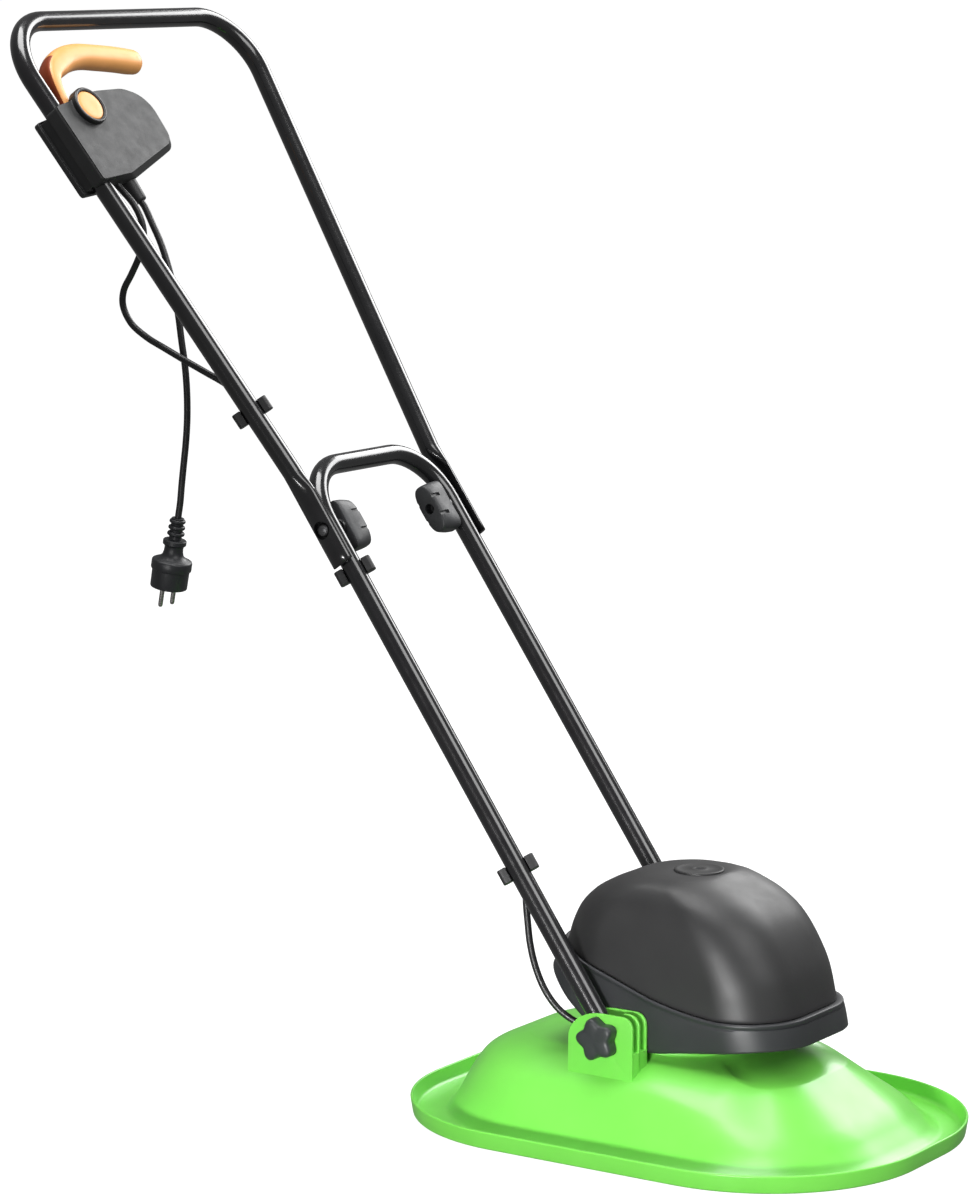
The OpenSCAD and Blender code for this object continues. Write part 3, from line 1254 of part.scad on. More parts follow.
// Crossing at the fold, in the handle frame: out of plane, across, and the share of the way between the clips
fold_route_shares = [
    [-9, -114, .13], [-12, -110, .29], [-15, -104, .47], [-16, -97, .63], [-15, -95.2, .78],
        [-10, -95.2, .9]];
fold_route = [for (p = fold_route_shares) handle_point(p[0], p[1], cut_up + (cut_mid - cut_up) * p[2])];
module motor_cable_fold()
    color([.09, .09, .09]) placed()
        cord(concat([fold_up_point, fold_up_run], fold_route, [fold_mid_run, fold_mid_point]), cable_r);
run_rings = 6;
module motor_cable_lower()
    color([.09, .09, .09]) placed()
        cord([for (i = [0:run_rings]) cut_mid_point + (cut_low_point - cut_mid_point) * i / run_rings],
            cable_r);
// Loop from the lowest clip to the tray, from the deck centre, chosen by eye
base_route = [[-126, -95, 220], [-124, -95, 200], [-121, -95, 178], [-115, -94, 155],
    [-105, -92, 133], [-91, -89, 116], [-74, -84, 105], [-59, -76, 99], [-47, -67, 98], [-41, -61, 101]];
module motor_cable_base()
    color([.09, .09, .09]) placed()
        cord(concat([base_point, base_run], base_route, [[grommet_x, grommet_y, tray_z - screw_gap]]),
            cable_r);

deck();
bracket_inserts();
hood_base();
hood_cover();
hood_cap();
hood_screw();
motor_plate();
plate_screws();
motor_tray();
tray_screws();
stator();
motor_bracket();
lower_bearing();
upper_bearing();
brush_holders();
carbon_brushes();
terminal_block();
cable_grommet();
shaft();
armature();
commutator();
impeller();
blade_spacer();
blade();
blade_washer();
blade_bolt();
lower_handle();
pivot_knob_right();
pivot_knob_left();
pivot_stud_right();
pivot_stud_left();
cable_clips();
upper_handle();
upper_clip();
fold_bolts();
fold_knob_right();
fold_knob_left();
switch_housing();
switch_cover();
switch_screws();
switch_lever();
lever_pin();
lock_button();
micro_switch();
capacitor();
lead_gland();
mains_lead();
plug_body();
plug_pins();
motor_cable_upper();
motor_cable_fold();
motor_cable_lower();
motor_cable_base();
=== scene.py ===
import math

import bmesh
import bpy
import numpy as np
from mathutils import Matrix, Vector


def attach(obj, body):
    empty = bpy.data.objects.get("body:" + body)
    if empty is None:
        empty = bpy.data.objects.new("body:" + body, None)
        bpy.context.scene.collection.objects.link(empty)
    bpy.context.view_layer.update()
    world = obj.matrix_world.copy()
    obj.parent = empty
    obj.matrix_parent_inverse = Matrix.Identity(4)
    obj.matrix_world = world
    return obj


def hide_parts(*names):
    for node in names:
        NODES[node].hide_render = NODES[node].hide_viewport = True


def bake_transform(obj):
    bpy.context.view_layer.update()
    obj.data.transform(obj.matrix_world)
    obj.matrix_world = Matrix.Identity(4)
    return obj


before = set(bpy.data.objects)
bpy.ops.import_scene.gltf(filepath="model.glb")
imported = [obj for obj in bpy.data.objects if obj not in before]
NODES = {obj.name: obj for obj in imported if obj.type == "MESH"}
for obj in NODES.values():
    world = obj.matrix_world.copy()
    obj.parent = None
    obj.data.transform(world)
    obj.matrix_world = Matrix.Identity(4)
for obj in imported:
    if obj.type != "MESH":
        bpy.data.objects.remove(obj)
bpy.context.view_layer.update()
SCENE = bpy.context.scene

# Measures, in millimetres as in the part's source
CENTRE_X = -214.41675
PIVOT_X, PIVOT_Z = -24.5, 104.5
LEAN = math.radians(55.1)
FLARE = math.radians(8.53)
LEG_Y, TUBE_R = 105.3, 10.0
SWITCH_S, SWITCH_Y = 1005.0, 174.395
FOLD_S = 565.0
FLARE_S, FLARE_Y = 631.0, 118.3
BOX_LOW, GLAND_IN, GLAND_L, CABLE_IN = 39, 42, 26, 24
CABLE_R, CORD_D = 3.4, .0068
BOTH_SIDES = ((-1, "right"), (1, "left"))


def from_deck(points):
    """Points measured from the deck centre, in millimetres, to the shared frame in metres."""
    return (np.asarray(points, float) - np.array([CENTRE_X, 0, 0])) / 1000


def from_handle(points):
    """Points out of the handle plane, across and up the slope, from the pivot."""
    n, y, s = np.moveaxis(np.asarray(points, float), -1, 0)
    x = PIVOT_X + n * math.sin(LEAN) - s * math.cos(LEAN)
    z = PIVOT_Z + n * math.cos(LEAN) + s * math.sin(LEAN)
    return from_deck(np.stack([x, y, z], -1))


def from_switch(points):
    """Points out of the handle plane, inward from the right tube and along it, from the box centre."""
    n, v, t = np.moveaxis(np.asarray(points, float), -1, 0)
    y = v * math.cos(FLARE) - t * math.sin(FLARE) - SWITCH_Y
    s = SWITCH_S + v * math.sin(FLARE) + t * math.cos(FLARE)
    return from_handle(np.stack([n, y, s], -1))


def flare_y(s):
    """Distance of the flared tube from the centre plane, at a place up the slope."""
    return FLARE_Y + (s - FLARE_S) * math.tan(FLARE)


def full_turn(steps):
    return np.arange(steps) * 2 * math.pi / steps


def quarter_turn(steps, start=0):
    return np.radians(start + 90 * np.arange(steps + 1) / steps)


# Camera
CAMERA_SPOT, CAMERA_AIM = (2.260407, -3.40648, 1.14725), (-0.017603, 0.0, 0.49327)
LENS, SENSOR, CLIP = 125.82, 36.0, (0.05, 200.0)


def set_up(name, data, spot, aim):
    """Puts a camera or lamp at a spot, turned to what it looks at."""
    thing = bpy.data.objects.new(name, data)
    SCENE.collection.objects.link(thing)
    thing.location = spot
    thing.rotation_mode = "QUATERNION"
    thing.rotation_quaternion = (Vector(aim) - Vector(spot)).to_track_quat("-Z", "Y")
    return thing


def place_camera():
    data = bpy.data.cameras.new("camera")
    data.lens, data.sensor_width = LENS, SENSOR
    data.clip_start, data.clip_end = CLIP
    SCENE.camera = set_up("camera", data, CAMERA_SPOT, CAMERA_AIM)


place_camera()


# Finishes
PATTERN_LOW, PATTERN_HIGH = 0.3, 0.7


class Finish:
    """A surface finish under construction: the material, its shader and short ways to add nodes."""

    def __init__(self, name, colour, rough, metal=0.0, **sockets):
        self.material = bpy.data.materials.new(name)
        self.material.use_nodes = True
        self.tree = self.material.node_tree
        self.shader = self.tree.nodes["Principled BSDF"]
        self.shader.inputs["Base Color"].default_value = (*colour, 1.0)
        self.shader.inputs["Roughness"].default_value = rough
        self.shader.inputs["Metallic"].default_value = metal
        for socket, value in sockets.items():
            self.shader.inputs[socket.replace("_", " ")].default_value = value
        self.place = self.tree.nodes.new("ShaderNodeTexCoord").outputs["Object"]

    def stretch(self, scale):
        node = self.tree.nodes.new("ShaderNodeMapping")
        node.inputs["Scale"].default_value = scale
        self.tree.links.new(self.place, node.inputs["Vector"])
        return node.outputs["Vector"]

    def noise(self, scale, detail=3.0, rough=0.55, where=None):
        node = self.tree.nodes.new("ShaderNodeTexNoise")
        node.inputs["Scale"].default_value = scale
        node.inputs["Detail"].default_value = detail
        node.inputs["Roughness"].default_value = rough
        self.tree.links.new(where or self.place, node.inputs["Vector"])
        return node.outputs["Fac"]

    def cells(self, scale):
        node = self.tree.nodes.new("ShaderNodeTexVoronoi")
        node.inputs["Scale"].default_value = scale
        self.tree.links.new(self.place, node.inputs["Vector"])
        return node.outputs["Distance"]

    def waves(self, scale):
        node = self.tree.nodes.new("ShaderNodeTexWave")
        node.bands_direction = "Z"
        node.inputs["Scale"].default_value = scale
        self.tree.links.new(self.place, node.inputs["Vector"])
        return node.outputs["Fac"]

    def tint(self, pattern, low, high):
        ramp = self.tree.nodes.new("ShaderNodeValToRGB")
        first, last = ramp.color_ramp.elements
        first.position, last.position = PATTERN_LOW, PATTERN_HIGH
        first.color, last.color = (*low, 1.0), (*high, 1.0)
        self.tree.links.new(pattern, ramp.inputs["Fac"])
        self.tree.links.new(ramp.outputs["Color"], self.shader.inputs["Base Color"])
        return self

    def sheen_range(self, pattern, low, high):
        node = self.tree.nodes.new("ShaderNodeMapRange")
        limits = (("From Min", PATTERN_LOW), ("From Max", PATTERN_HIGH), ("To Min", low), ("To Max", high))
        for socket, value in limits:
            node.inputs[socket].default_value = value
        self.tree.links.new(pattern, node.inputs["Value"])
        self.tree.links.new(node.outputs["Result"], self.shader.inputs["Roughness"])
        return self

    def relief(self, *layers):
        """Bump from layers of pattern, depth in metres and strength, each on the one before."""
        under = None
        for pattern, depth, strength in layers:
            node = self.tree.nodes.new("ShaderNodeBump")
            node.inputs["Distance"].default_value = depth
            node.inputs["Strength"].default_value = strength
            self.tree.links.new(pattern, node.inputs["Height"])
            if under is not None:
                self.tree.links.new(under, node.inputs["Normal"])
            under = node.outputs["Normal"]
        self.tree.links.new(under, self.shader.inputs["Normal"])
        return self


def lime_plastic():
    f = Finish("lime_plastic", (0.15, 0.57, 0.066), 0.3, Coat_Weight=0.06, Coat_Roughness=0.1,
               Subsurface_Weight=0.06, Subsurface_Radius=(0.004, 0.008, 0.002))
    f.tint(f.noise(9.0, 4.0), (0.140, 0.54, 0.060), (0.165, 0.60, 0.075))
    f.sheen_range(f.noise(26.0), 0.29, 0.37)
    return f.relief((f.noise(55.0, 2.0), 0.0006, 0.05), (f.noise(900.0, 2.0), 0.0001, 0.06)).material


def hood_plastic(name, low, high, rough):
    f = Finish(name, high, rough)
    f.tint(f.noise(14.0, 4.0), low, high)
    f.sheen_range(f.noise(35.0), rough - 0.03, rough + 0.04)
    return f.relief((f.cells(1500.0), 0.00012, 0.16), (f.noise(30.0, 2.0), 0.0008, 0.03)).material


def tube_enamel():
    f = Finish("tube_enamel", (0.008, 0.008, 0.009), 0.2, Coat_Weight=0.5, Coat_Roughness=0.06)
    f.tint(f.noise(40.0), (0.006, 0.006, 0.007), (0.011, 0.011, 0.012))
    f.sheen_range(f.noise(70.0), 0.17, 0.25)
    return f.relief((f.noise(420.0, 2.0), 0.0002, 0.025)).material


def moulded(name, low, high, rough, grain=1700.0, depth=0.00016):
    f = Finish(name, high, rough)
    f.tint(f.noise(38.0, 5.0, 0.65), low, high)
    f.sheen_range(f.noise(90.0), rough - 0.05, rough + 0.05)
    return f.relief((f.cells(grain), depth, 0.22), (f.noise(grain / 3, 3.0), depth, 0.15)).material


def cord_jacket():
    f = Finish("cord_jacket", (0.012, 0.012, 0.013), 0.4)
    f.tint(f.noise(80.0), (0.009, 0.009, 0.010), (0.017, 0.017, 0.018))
    f.sheen_range(f.noise(140.0), 0.34, 0.46)
    return f.relief((f.noise(600.0), 0.00012, 0.12)).material


def turned_metal(name, low, high, rough, brushed=(1.0, 1.0, 60.0)):
    f = Finish(name, high, rough, metal=1.0)
    lines = f.noise(30.0, 4.0, 0.6, f.stretch(brushed))
    f.tint(lines, low, high)
    f.sheen_range(lines, rough - 0.06, rough + 0.08)
    return f.relief((lines, 0.00008, 0.2)).material


def plate_stack():
    f = Finish("plate_stack", (0.32, 0.32, 0.34), 0.42, metal=0.9)
    f.tint(f.waves(320.0), (0.16, 0.16, 0.17), (0.36, 0.36, 0.38))
    return f.relief((f.waves(320.0), 0.0002, 0.5)).material


def wound_copper():
    f = Finish("wound_copper", (0.55, 0.21, 0.09), 0.32, metal=0.85)
    f.tint(f.waves(230.0), (0.30, 0.10, 0.04), (0.62, 0.26, 0.11))
    return f.relief((f.waves(230.0), 0.0004, 0.6)).material


LIME = lime_plastic()
HOOD = hood_plastic("hood_satin", (0.0150, 0.0150, 0.0155), (0.0195, 0.0195, 0.0200), 0.48)
SKIRT = hood_plastic("skirt_satin", (0.017, 0.018, 0.020), (0.023, 0.024, 0.027), 0.46)
ENAMEL = tube_enamel()
BOX = moulded("box_grain", (0.025, 0.0255, 0.026), (0.034, 0.0345, 0.0355), 0.56)
BOX_BACK = moulded("box_back_grain", (0.022, 0.0225, 0.023), (0.030, 0.0305, 0.032), 0.52)
ORANGE = moulded("orange_grip", (0.82, 0.37, 0.110), (0.90, 0.415, 0.130), 0.40, 2200.0, 0.00008)
# Dark red-brown version of the orange grip, used on the lever stem's outer flank as painted shade
FLANK_PAINTED_SHADE = moulded("lever_flank_painted_shade", (0.23, 0.034, 0.005), (0.28, 0.044, 0.008), 0.5, 2200.0, 0.00008)
KNOB_RIM = moulded("knob_rim", (0.026, 0.027, 0.029), (0.038, 0.039, 0.042), 0.48)
STAR = moulded("star_grain", (0.018, 0.021, 0.022), (0.026, 0.030, 0.031), 0.48)
KNOB_BLACK = moulded("knob_black", (0.008, 0.008, 0.0085), (0.013, 0.013, 0.014), 0.38)
CLIP_BLACK = moulded("clip_black", (0.014, 0.014, 0.015), (0.022, 0.022, 0.023), 0.48)
JACKET = cord_jacket()
PLUG = moulded("plug_rubber", (0.011, 0.012, 0.014), (0.018, 0.019, 0.022), 0.42)
STEEL = turned_metal("bright_steel", (0.46, 0.46, 0.47), (0.62, 0.62, 0.63), 0.28)
BOLT_STEEL = turned_metal("bolt_zinc", (0.14, 0.14, 0.145), (0.22, 0.22, 0.225), 0.42)
DARK_STEEL = turned_metal("blackened_steel", (0.05, 0.05, 0.052), (0.09, 0.09, 0.095), 0.36)
PIN_METAL = turned_metal("pin_nickel", (0.30, 0.295, 0.28), (0.44, 0.43, 0.41), 0.26)
CAST_METAL = turned_metal("cast_alloy", (0.36, 0.36, 0.37), (0.50, 0.50, 0.51), 0.45, (1.0, 1.0, 1.0))
BLADE_STEEL = turned_metal("blade_steel", (0.30, 0.30, 0.31), (0.52, 0.52, 0.53), 0.33, (1.0, 14.0, 1.0))
BRASS = turned_metal("insert_brass", (0.50, 0.36, 0.13), (0.68, 0.50, 0.20), 0.30)
COPPER = wound_copper()
STACK = plate_stack()
CARBON = moulded("brush_carbon", (0.018, 0.018, 0.019), (0.032, 0.032, 0.033), 0.60)
FIBRE = moulded("holder_fibre", (0.16, 0.10, 0.045), (0.22, 0.14, 0.06), 0.55)
CREAM = moulded("block_cream", (0.58, 0.56, 0.48), (0.68, 0.66, 0.58), 0.45)
FAN = moulded("impeller_plastic", (0.018, 0.018, 0.019), (0.028, 0.028, 0.030), 0.42)
YELLOW = moulded("spacer_yellow", (0.62, 0.44, 0.04), (0.74, 0.54, 0.07), 0.42)


# Ways of making a piece
MERGE, CAD_MERGE, CAD_FLAT, CAD_CREASE = 1e-7, 2e-6, math.radians(0.8), math.radians(50)


def make_piece(name, points, faces, finish, crease=None):
    mesh = bpy.data.meshes.new(name)
    mesh.from_pydata([tuple(p) for p in np.asarray(points, float).reshape(-1, 3)], [], faces)
    bm = bmesh.new()
    bm.from_mesh(mesh)
    bmesh.ops.remove_doubles(bm, verts=bm.verts, dist=MERGE)
    bmesh.ops.recalc_face_normals(bm, faces=bm.faces)
    bm.to_mesh(mesh)
    bm.free()
    mesh.materials.append(finish)
    mesh.shade_smooth()
    if crease is not None:
        mesh.set_sharp_from_angle(angle=math.radians(crease))
    piece = bpy.data.objects.new(name, mesh)
    SCENE.collection.objects.link(piece)
    return piece


def loft(name, rows, finish, looped=False, capped=True, crease=None):
    """Skin over rings of equal point count.
    Looped joins the last ring to the first, and capped closes the ends."""
    rows = np.asarray(rows, float)
    m, n = rows.shape[:2]
    faces = []
    for j in range(m if looped else m - 1):
        k = (j + 1) % m
        for i in range(n):
            h = (i + 1) % n
            faces.append((j * n + i, j * n + h, k * n + h, k * n + i))
    if not looped and capped:
        faces.append(tuple(range(n)))
        faces.append(tuple((m - 1) * n + i for i in range(n)))
    return make_piece(name, rows, faces, finish, crease)


def lathe(name, profile, place, finish, steps=56, crease=40):
    """Turned piece: profile of radius and height, put in place by a function of (across, across, along).
    A profile that ends where it starts gives a ring with an open bore."""
    bored = profile[0] == profile[-1]
    a = full_turn(steps)
    rows = [place(np.stack([r * np.cos(a), r * np.sin(a), np.full(steps, h)], -1))
            for r, h in (profile[:-1] if bored else profile)]
    open_end = profile[0][0] > 0 or profile[-1][0] > 0
    return loft(name, rows, finish, looped=bored, capped=open_end, crease=crease)


def baked(piece):
    """Turns what the modifiers make into the piece's own mesh."""
    seen = bpy.context.evaluated_depsgraph_get()
    mesh = bpy.data.meshes.new_from_object(piece.evaluated_get(seen), depsgraph=seen)
    piece.modifiers.clear()
    piece.data = mesh
    return piece


def carve(piece, cutter):
    """Takes the cutter's shape out of the piece."""
    cut = piece.modifiers.new("cut", "BOOLEAN")
    cut.operation, cut.object, cut.solver = "DIFFERENCE", cutter, "EXACT"
    baked(piece)
    bpy.data.objects.remove(cutter)


def round_edges(piece, width, segments, angle, harden=False):
    """Rounds the edges that turn by more than the angle in degrees, over a width in millimetres."""
    edge = piece.modifiers.new("edge", "BEVEL")
    edge.width, edge.segments, edge.limit_method = width / 1000, segments, "ANGLE"
    edge.angle_limit, edge.use_clamp_overlap = math.radians(angle), False
    edge.harden_normals = harden
    return baked(piece)


def softened(node, width, finish):
    """Copy of a CAD solid with its sharp edges rounded, standing for that solid."""
    bm = bmesh.new()
    bm.from_mesh(NODES[node].data)
    bmesh.ops.remove_doubles(bm, verts=bm.verts, dist=CAD_MERGE)
    bmesh.ops.dissolve_limit(bm, angle_limit=CAD_FLAT, verts=bm.verts, edges=bm.edges)
    plain = bpy.data.meshes.new(node + "_plain")
    bm.verts.index_update()
    plain.from_pydata([v.co[:] for v in bm.verts], [], [[v.index for v in f.verts] for f in bm.faces])
    plain.shade_smooth()
    plain.set_sharp_from_angle(angle=CAD_CREASE)
    bm.free()
    piece = bpy.data.objects.new(node + "_dressed", plain)
    SCENE.collection.objects.link(piece)
    round_edges(piece, width, segments=2, angle=35, harden=True)
    piece.data.materials.clear()
    piece.data.materials.append(finish)
    return piece


def spline(points, steps):
    """Smooth line through the points, with the given number of steps between neighbours."""
    p = np.asarray(points, float)
    ends = np.concatenate([[2 * p[0] - p[1]], p, [2 * p[-1] - p[-2]]])
    line = []
    for i in range(len(p) - 1):
        a, b, c, d = ends[i:i + 4]
        ta, tb = 0.0, np.linalg.norm(b - a) ** 0.5
        tc = tb + np.linalg.norm(c - b) ** 0.5
        td = tc + np.linalg.norm(d - c) ** 0.5
        for k in range(steps):
            t = tb + (tc - tb) * k / steps
            ab = a + (b - a) * (t - ta) / (tb - ta)
            bc = b + (c - b) * (t - tb) / (tc - tb)
            cd = c + (d - c) * (t - tc) / (td - tc)
            abc = ab + (bc - ab) * (t - ta) / (tc - ta)
            bcd = bc + (cd - bc) * (t - tb) / (td - tb)
            line.append(abc + (bcd - abc) * (t - tb) / (tc - tb))
    line.append(p[-1])
    return np.array(line)


def eased(table, x):
    """Smooth monotone curve through a table of pairs, without overshoot."""
    t = np.asarray(table, float)
    x = np.clip(np.asarray(x, float), t[0, 0], t[-1, 0])
    h, d = np.diff(t[:, 0]), np.diff(t[:, 1]) / np.diff(t[:, 0])
    inner = [0 if a * b <= 0 else 2 * a * b / (a + b) for a, b in zip(d, d[1:])]
    m = np.concatenate([[d[0]], inner, [d[-1]]])
    i = np.clip(np.searchsorted(t[:, 0], x, side="right") - 1, 0, len(h) - 1)
    s = (x - t[i, 0]) / h[i]
    return ((1 + 2 * s) * (1 - s) ** 2 * t[i, 1] + s * (1 - s) ** 2 * h[i] * m[i]
            + s * s * (3 - 2 * s) * t[i + 1, 1] + s * s * (s - 1) * h[i] * m[i + 1])


# Node trees for what follows a path or repeats
def node_tree(name, inputs):
    tree = bpy.data.node_groups.new(name, "GeometryNodeTree")
    tree.interface.new_socket("Geometry", in_out="INPUT", socket_type="NodeSocketGeometry")
    tree.interface.new_socket("Geometry", in_out="OUTPUT", socket_type="NodeSocketGeometry")
    for label, kind, value in inputs:
        socket = tree.interface.new_socket(label, in_out="INPUT", socket_type=kind)
        if value is not None:
            socket.default_value = value
    given, result = tree.nodes.new("NodeGroupInput"), tree.nodes.new("NodeGroupOutput")

    def add(kind, **links):
        node = tree.nodes.new(kind)
        for socket, source in links.items():
            target = node.inputs[socket.replace("_", " ")]
            if isinstance(source, bpy.types.NodeSocket):
                tree.links.new(source, target)
            else:
                target.default_value = source
        return node

    return tree, given.outputs, result.inputs["Geometry"], add


def tube_tree():
    """Round tube along a line of edges, with closed ends."""
    tree, given, result, add = node_tree("tube_on_path", [
        ("Radius", "NodeSocketFloat", 0.01), ("Sides", "NodeSocketInt", 24),
        ("Finish", "NodeSocketMaterial", None)])
    line = add("GeometryNodeMeshToCurve", Mesh=given["Geometry"])
    ring = add("GeometryNodeCurvePrimitiveCircle", Resolution=given["Sides"], Radius=given["Radius"])
    skin = add("GeometryNodeCurveToMesh", Curve=line.outputs["Curve"], Profile_Curve=ring.outputs["Curve"],
               Fill_Caps=True)
    smooth = add("GeometryNodeSetShadeSmooth", Geometry=skin.outputs["Mesh"], Shade_Smooth=True)
    real = add("GeometryNodeRealizeInstances", Geometry=smooth.outputs["Geometry"])
    dressed = add("GeometryNodeSetMaterial", Geometry=real.outputs["Geometry"], Material=given["Finish"])
    tree.links.new(dressed.outputs["Geometry"], result)
    return tree


def ribs_tree():
    """Rounded ribs set around the points of a line, each larger than the one before by the taper."""
    tree, given, result, add = node_tree("ribs_on_stem", [
        ("Radius", "NodeSocketFloat", 0.008), ("Taper", "NodeSocketFloat", 0.0),
        ("Bead", "NodeSocketFloat", 0.001), ("Direction", "NodeSocketVector", (0, 0, 1)),
        ("Finish", "NodeSocketMaterial", None)])
    index = add("GeometryNodeInputIndex")
    fall = add("ShaderNodeMath")
    fall.operation = "MULTIPLY_ADD"
    tree.links.new(index.outputs["Index"], fall.inputs[0])
    tree.links.new(given["Taper"], fall.inputs[1])
    fall.inputs[2].default_value = 1.0
    ring = add("GeometryNodeCurvePrimitiveCircle", Resolution=40, Radius=given["Radius"])
    bead = add("GeometryNodeCurvePrimitiveCircle", Resolution=10, Radius=given["Bead"])
    rib = add("GeometryNodeCurveToMesh", Curve=ring.outputs["Curve"], Profile_Curve=bead.outputs["Curve"])
    turn = add("FunctionNodeAlignEulerToVector", Vector=given["Direction"])
    turn.axis = "Z"
    points = add("GeometryNodeMeshToPoints", Mesh=given["Geometry"])
    each = add("GeometryNodeInstanceOnPoints", Points=points.outputs["Points"], Instance=rib.outputs["Mesh"],
               Rotation=turn.outputs["Rotation"], Scale=fall.outputs["Value"])
    real = add("GeometryNodeRealizeInstances", Geometry=each.outputs["Instances"])
    smooth = add("GeometryNodeSetShadeSmooth", Geometry=real.outputs["Geometry"], Shade_Smooth=True)
    dressed = add("GeometryNodeSetMaterial", Geometry=smooth.outputs["Geometry"], Material=given["Finish"])
    tree.links.new(dressed.outputs["Geometry"], result)
    return tree


TUBE, RIBS = tube_tree(), ribs_tree()


def grown(name, points, tree, **values):
    """Runs a node tree over a line of points and keeps the result as a plain mesh."""
    mesh = bpy.data.meshes.new(name)
    mesh.from_pydata([tuple(p) for p in points], [(i, i + 1) for i in range(len(points) - 1)], [])
    piece = bpy.data.objects.new(name, mesh)
    SCENE.collection.objects.link(piece)
    modifier = piece.modifiers.new("grow", "NODES")
    modifier.node_group = tree
    for item in tree.interface.items_tree:
        if item.in_out == "INPUT" and item.name in values:
            modifier[item.identifier] = values[item.name]
    return baked(piece)


# Cords and cables
CABLE_N, CABLE_Y, STRAIGHT, APPROACH = -7.617, 11.508, 6, 16
UPPER_CLIP_S, MID_CLIP_S, LOW_CLIP_S = 694.5, 524.5, 174.5


def beside_tube(s, flared=False):
    """Place of the cable beside the right tube, in the clips."""
    return from_handle([CABLE_N, CABLE_Y - (flare_y(s) if flared else LEG_Y), s])


LEAD_EXIT = from_switch([0, GLAND_IN, -BOX_LOW - GLAND_L])
LEAD_RUN = from_switch([0, GLAND_IN, -BOX_LOW - GLAND_L - STRAIGHT])
LEAD_ROUTE = np.concatenate([[LEAD_EXIT, LEAD_RUN], from_deck([
    [-553, -123, 860], [-543, -123, 842], [-534, -124, 822], [-527, -124, 800], [-521, -124, 772],
    [-517, -124, 745], [-513, -124, 720], [-511, -124, 695], [-511, -124, 668], [-513, -124, 644],
    [-516, -124, 622], [-519, -124, 600], [-521, -124, 583], [-524, -124, 567]])])
UPPER_END = beside_tube(UPPER_CLIP_S, flared=True)
UPPER_START = [from_switch([0, CABLE_IN, -BOX_LOW]), from_switch([0, CABLE_IN, -BOX_LOW - STRAIGHT])]
UPPER_ROUTE = np.concatenate([UPPER_START, from_deck([
    [-562, -141, 880], [-554, -139, 864], [-552, -138, 848], [-557, -138, 830], [-568, -138, 810],
    [-579, -137, 793], [-581, -136, 778], [-573, -134, 761], [-554, -134, 748], [-528, -137, 738],
    [-503, -136, 727], [-480, -132, 716], [-461, -125, 705], [-447, -120, 693]]),
    [beside_tube(UPPER_CLIP_S + APPROACH, flared=True), UPPER_END]])
MID_END = beside_tube(MID_CLIP_S)
FOLD_START = [UPPER_END, beside_tube(UPPER_CLIP_S - STRAIGHT, flared=True)]
FOLD_ROUTE = np.concatenate([FOLD_START, from_handle([
    [-9, -114, 672.4], [-12, -110, 645.2], [-15, -104, 614.6], [-16, -97, 587.4], [-15, -95.2, 561.9],
    [-10, -95.2, 541.5]]), [beside_tube(MID_CLIP_S + STRAIGHT), MID_END]])
LOW_END = beside_tube(LOW_CLIP_S)
BASE_ROUTE = np.concatenate([[LOW_END, beside_tube(LOW_CLIP_S - STRAIGHT)], from_deck([
    [-126, -95, 220], [-124, -95, 200], [-121, -95, 178], [-115, -94, 155],
    [-105, -92, 133], [-91, -89, 116], [-74, -84, 105], [-59, -76, 99], [-47, -67, 98], [-41, -61, 101],
    [-40, -60, 107.9]])])


def lay_cord(name, path, node):
    piece = grown(name, path, TUBE, Radius=CABLE_R / 1000, Sides=16, Finish=JACKET)
    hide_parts(node)
    return piece


lead_path, cable_up_path = spline(LEAD_ROUTE, steps=6), spline(UPPER_ROUTE, steps=6)
cable_fold_path, cable_base_path = spline(FOLD_ROUTE, steps=8), spline(BASE_ROUTE, steps=8)
lead = lay_cord("lead_cord", lead_path, "mains_lead")
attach(lead, "upper_handle")
cable_up = lay_cord("cable_upper_run", cable_up_path, "motor_cable_upper")
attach(cable_up, "upper_handle")
cable_fold = lay_cord("cable_fold_run", cable_fold_path, "motor_cable_fold")
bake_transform(cable_fold)
cable_low = lay_cord("cable_lower_run", np.linspace(MID_END, LOW_END, 24), "motor_cable_lower")
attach(cable_low, "lower_handle")
cable_base = lay_cord("cable_base_run", cable_base_path, "motor_cable_base")
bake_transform(cable_base)


# Outlines
CORNER_STEPS, SIDE_STEPS, END_STEPS = 26, 22, 8


def corner_arc(cx, cy, r, start):
    a = quarter_turn(CORNER_STEPS, start)
    return np.stack([cx + r * np.cos(a), cy + r * np.sin(a)], -1)


def ring_of(rear, front, half_w, rear_r, front_r):
    """Rounded rectangle, counter-clockwise from the front, with even points on its straights."""
    arcs = [corner_arc(front - front_r, half_w - front_r, front_r, 0),
            corner_arc(rear + rear_r, half_w - rear_r, rear_r, 90),
            corner_arc(rear + rear_r, rear_r - half_w, rear_r, 180),
            corner_arc(front - front_r, front_r - half_w, front_r, 270)]
    points = []
    for k, steps in enumerate((SIDE_STEPS, END_STEPS) * 2):
        p, q = arcs[k][-1], arcs[(k + 1) % 4][0]
        points += list(arcs[k]) + [p + (q - p) * i / (steps + 1) for i in range(1, steps + 1)]
    return np.array(points)


def at_level(ring, z):
    """Flat outline lifted to one height, or to a height for each point."""
    return np.concatenate([ring, np.broadcast_to(np.asarray(z, float).reshape(-1, 1), (len(ring), 1))], 1)


def round_ring(ring, cx, r):
    """Circle with its points in the directions of another outline's points."""
    a = np.arctan2(ring[:, 1], ring[:, 0] - cx)
    return np.stack([cx + r * np.cos(a), r * np.sin(a)], -1)


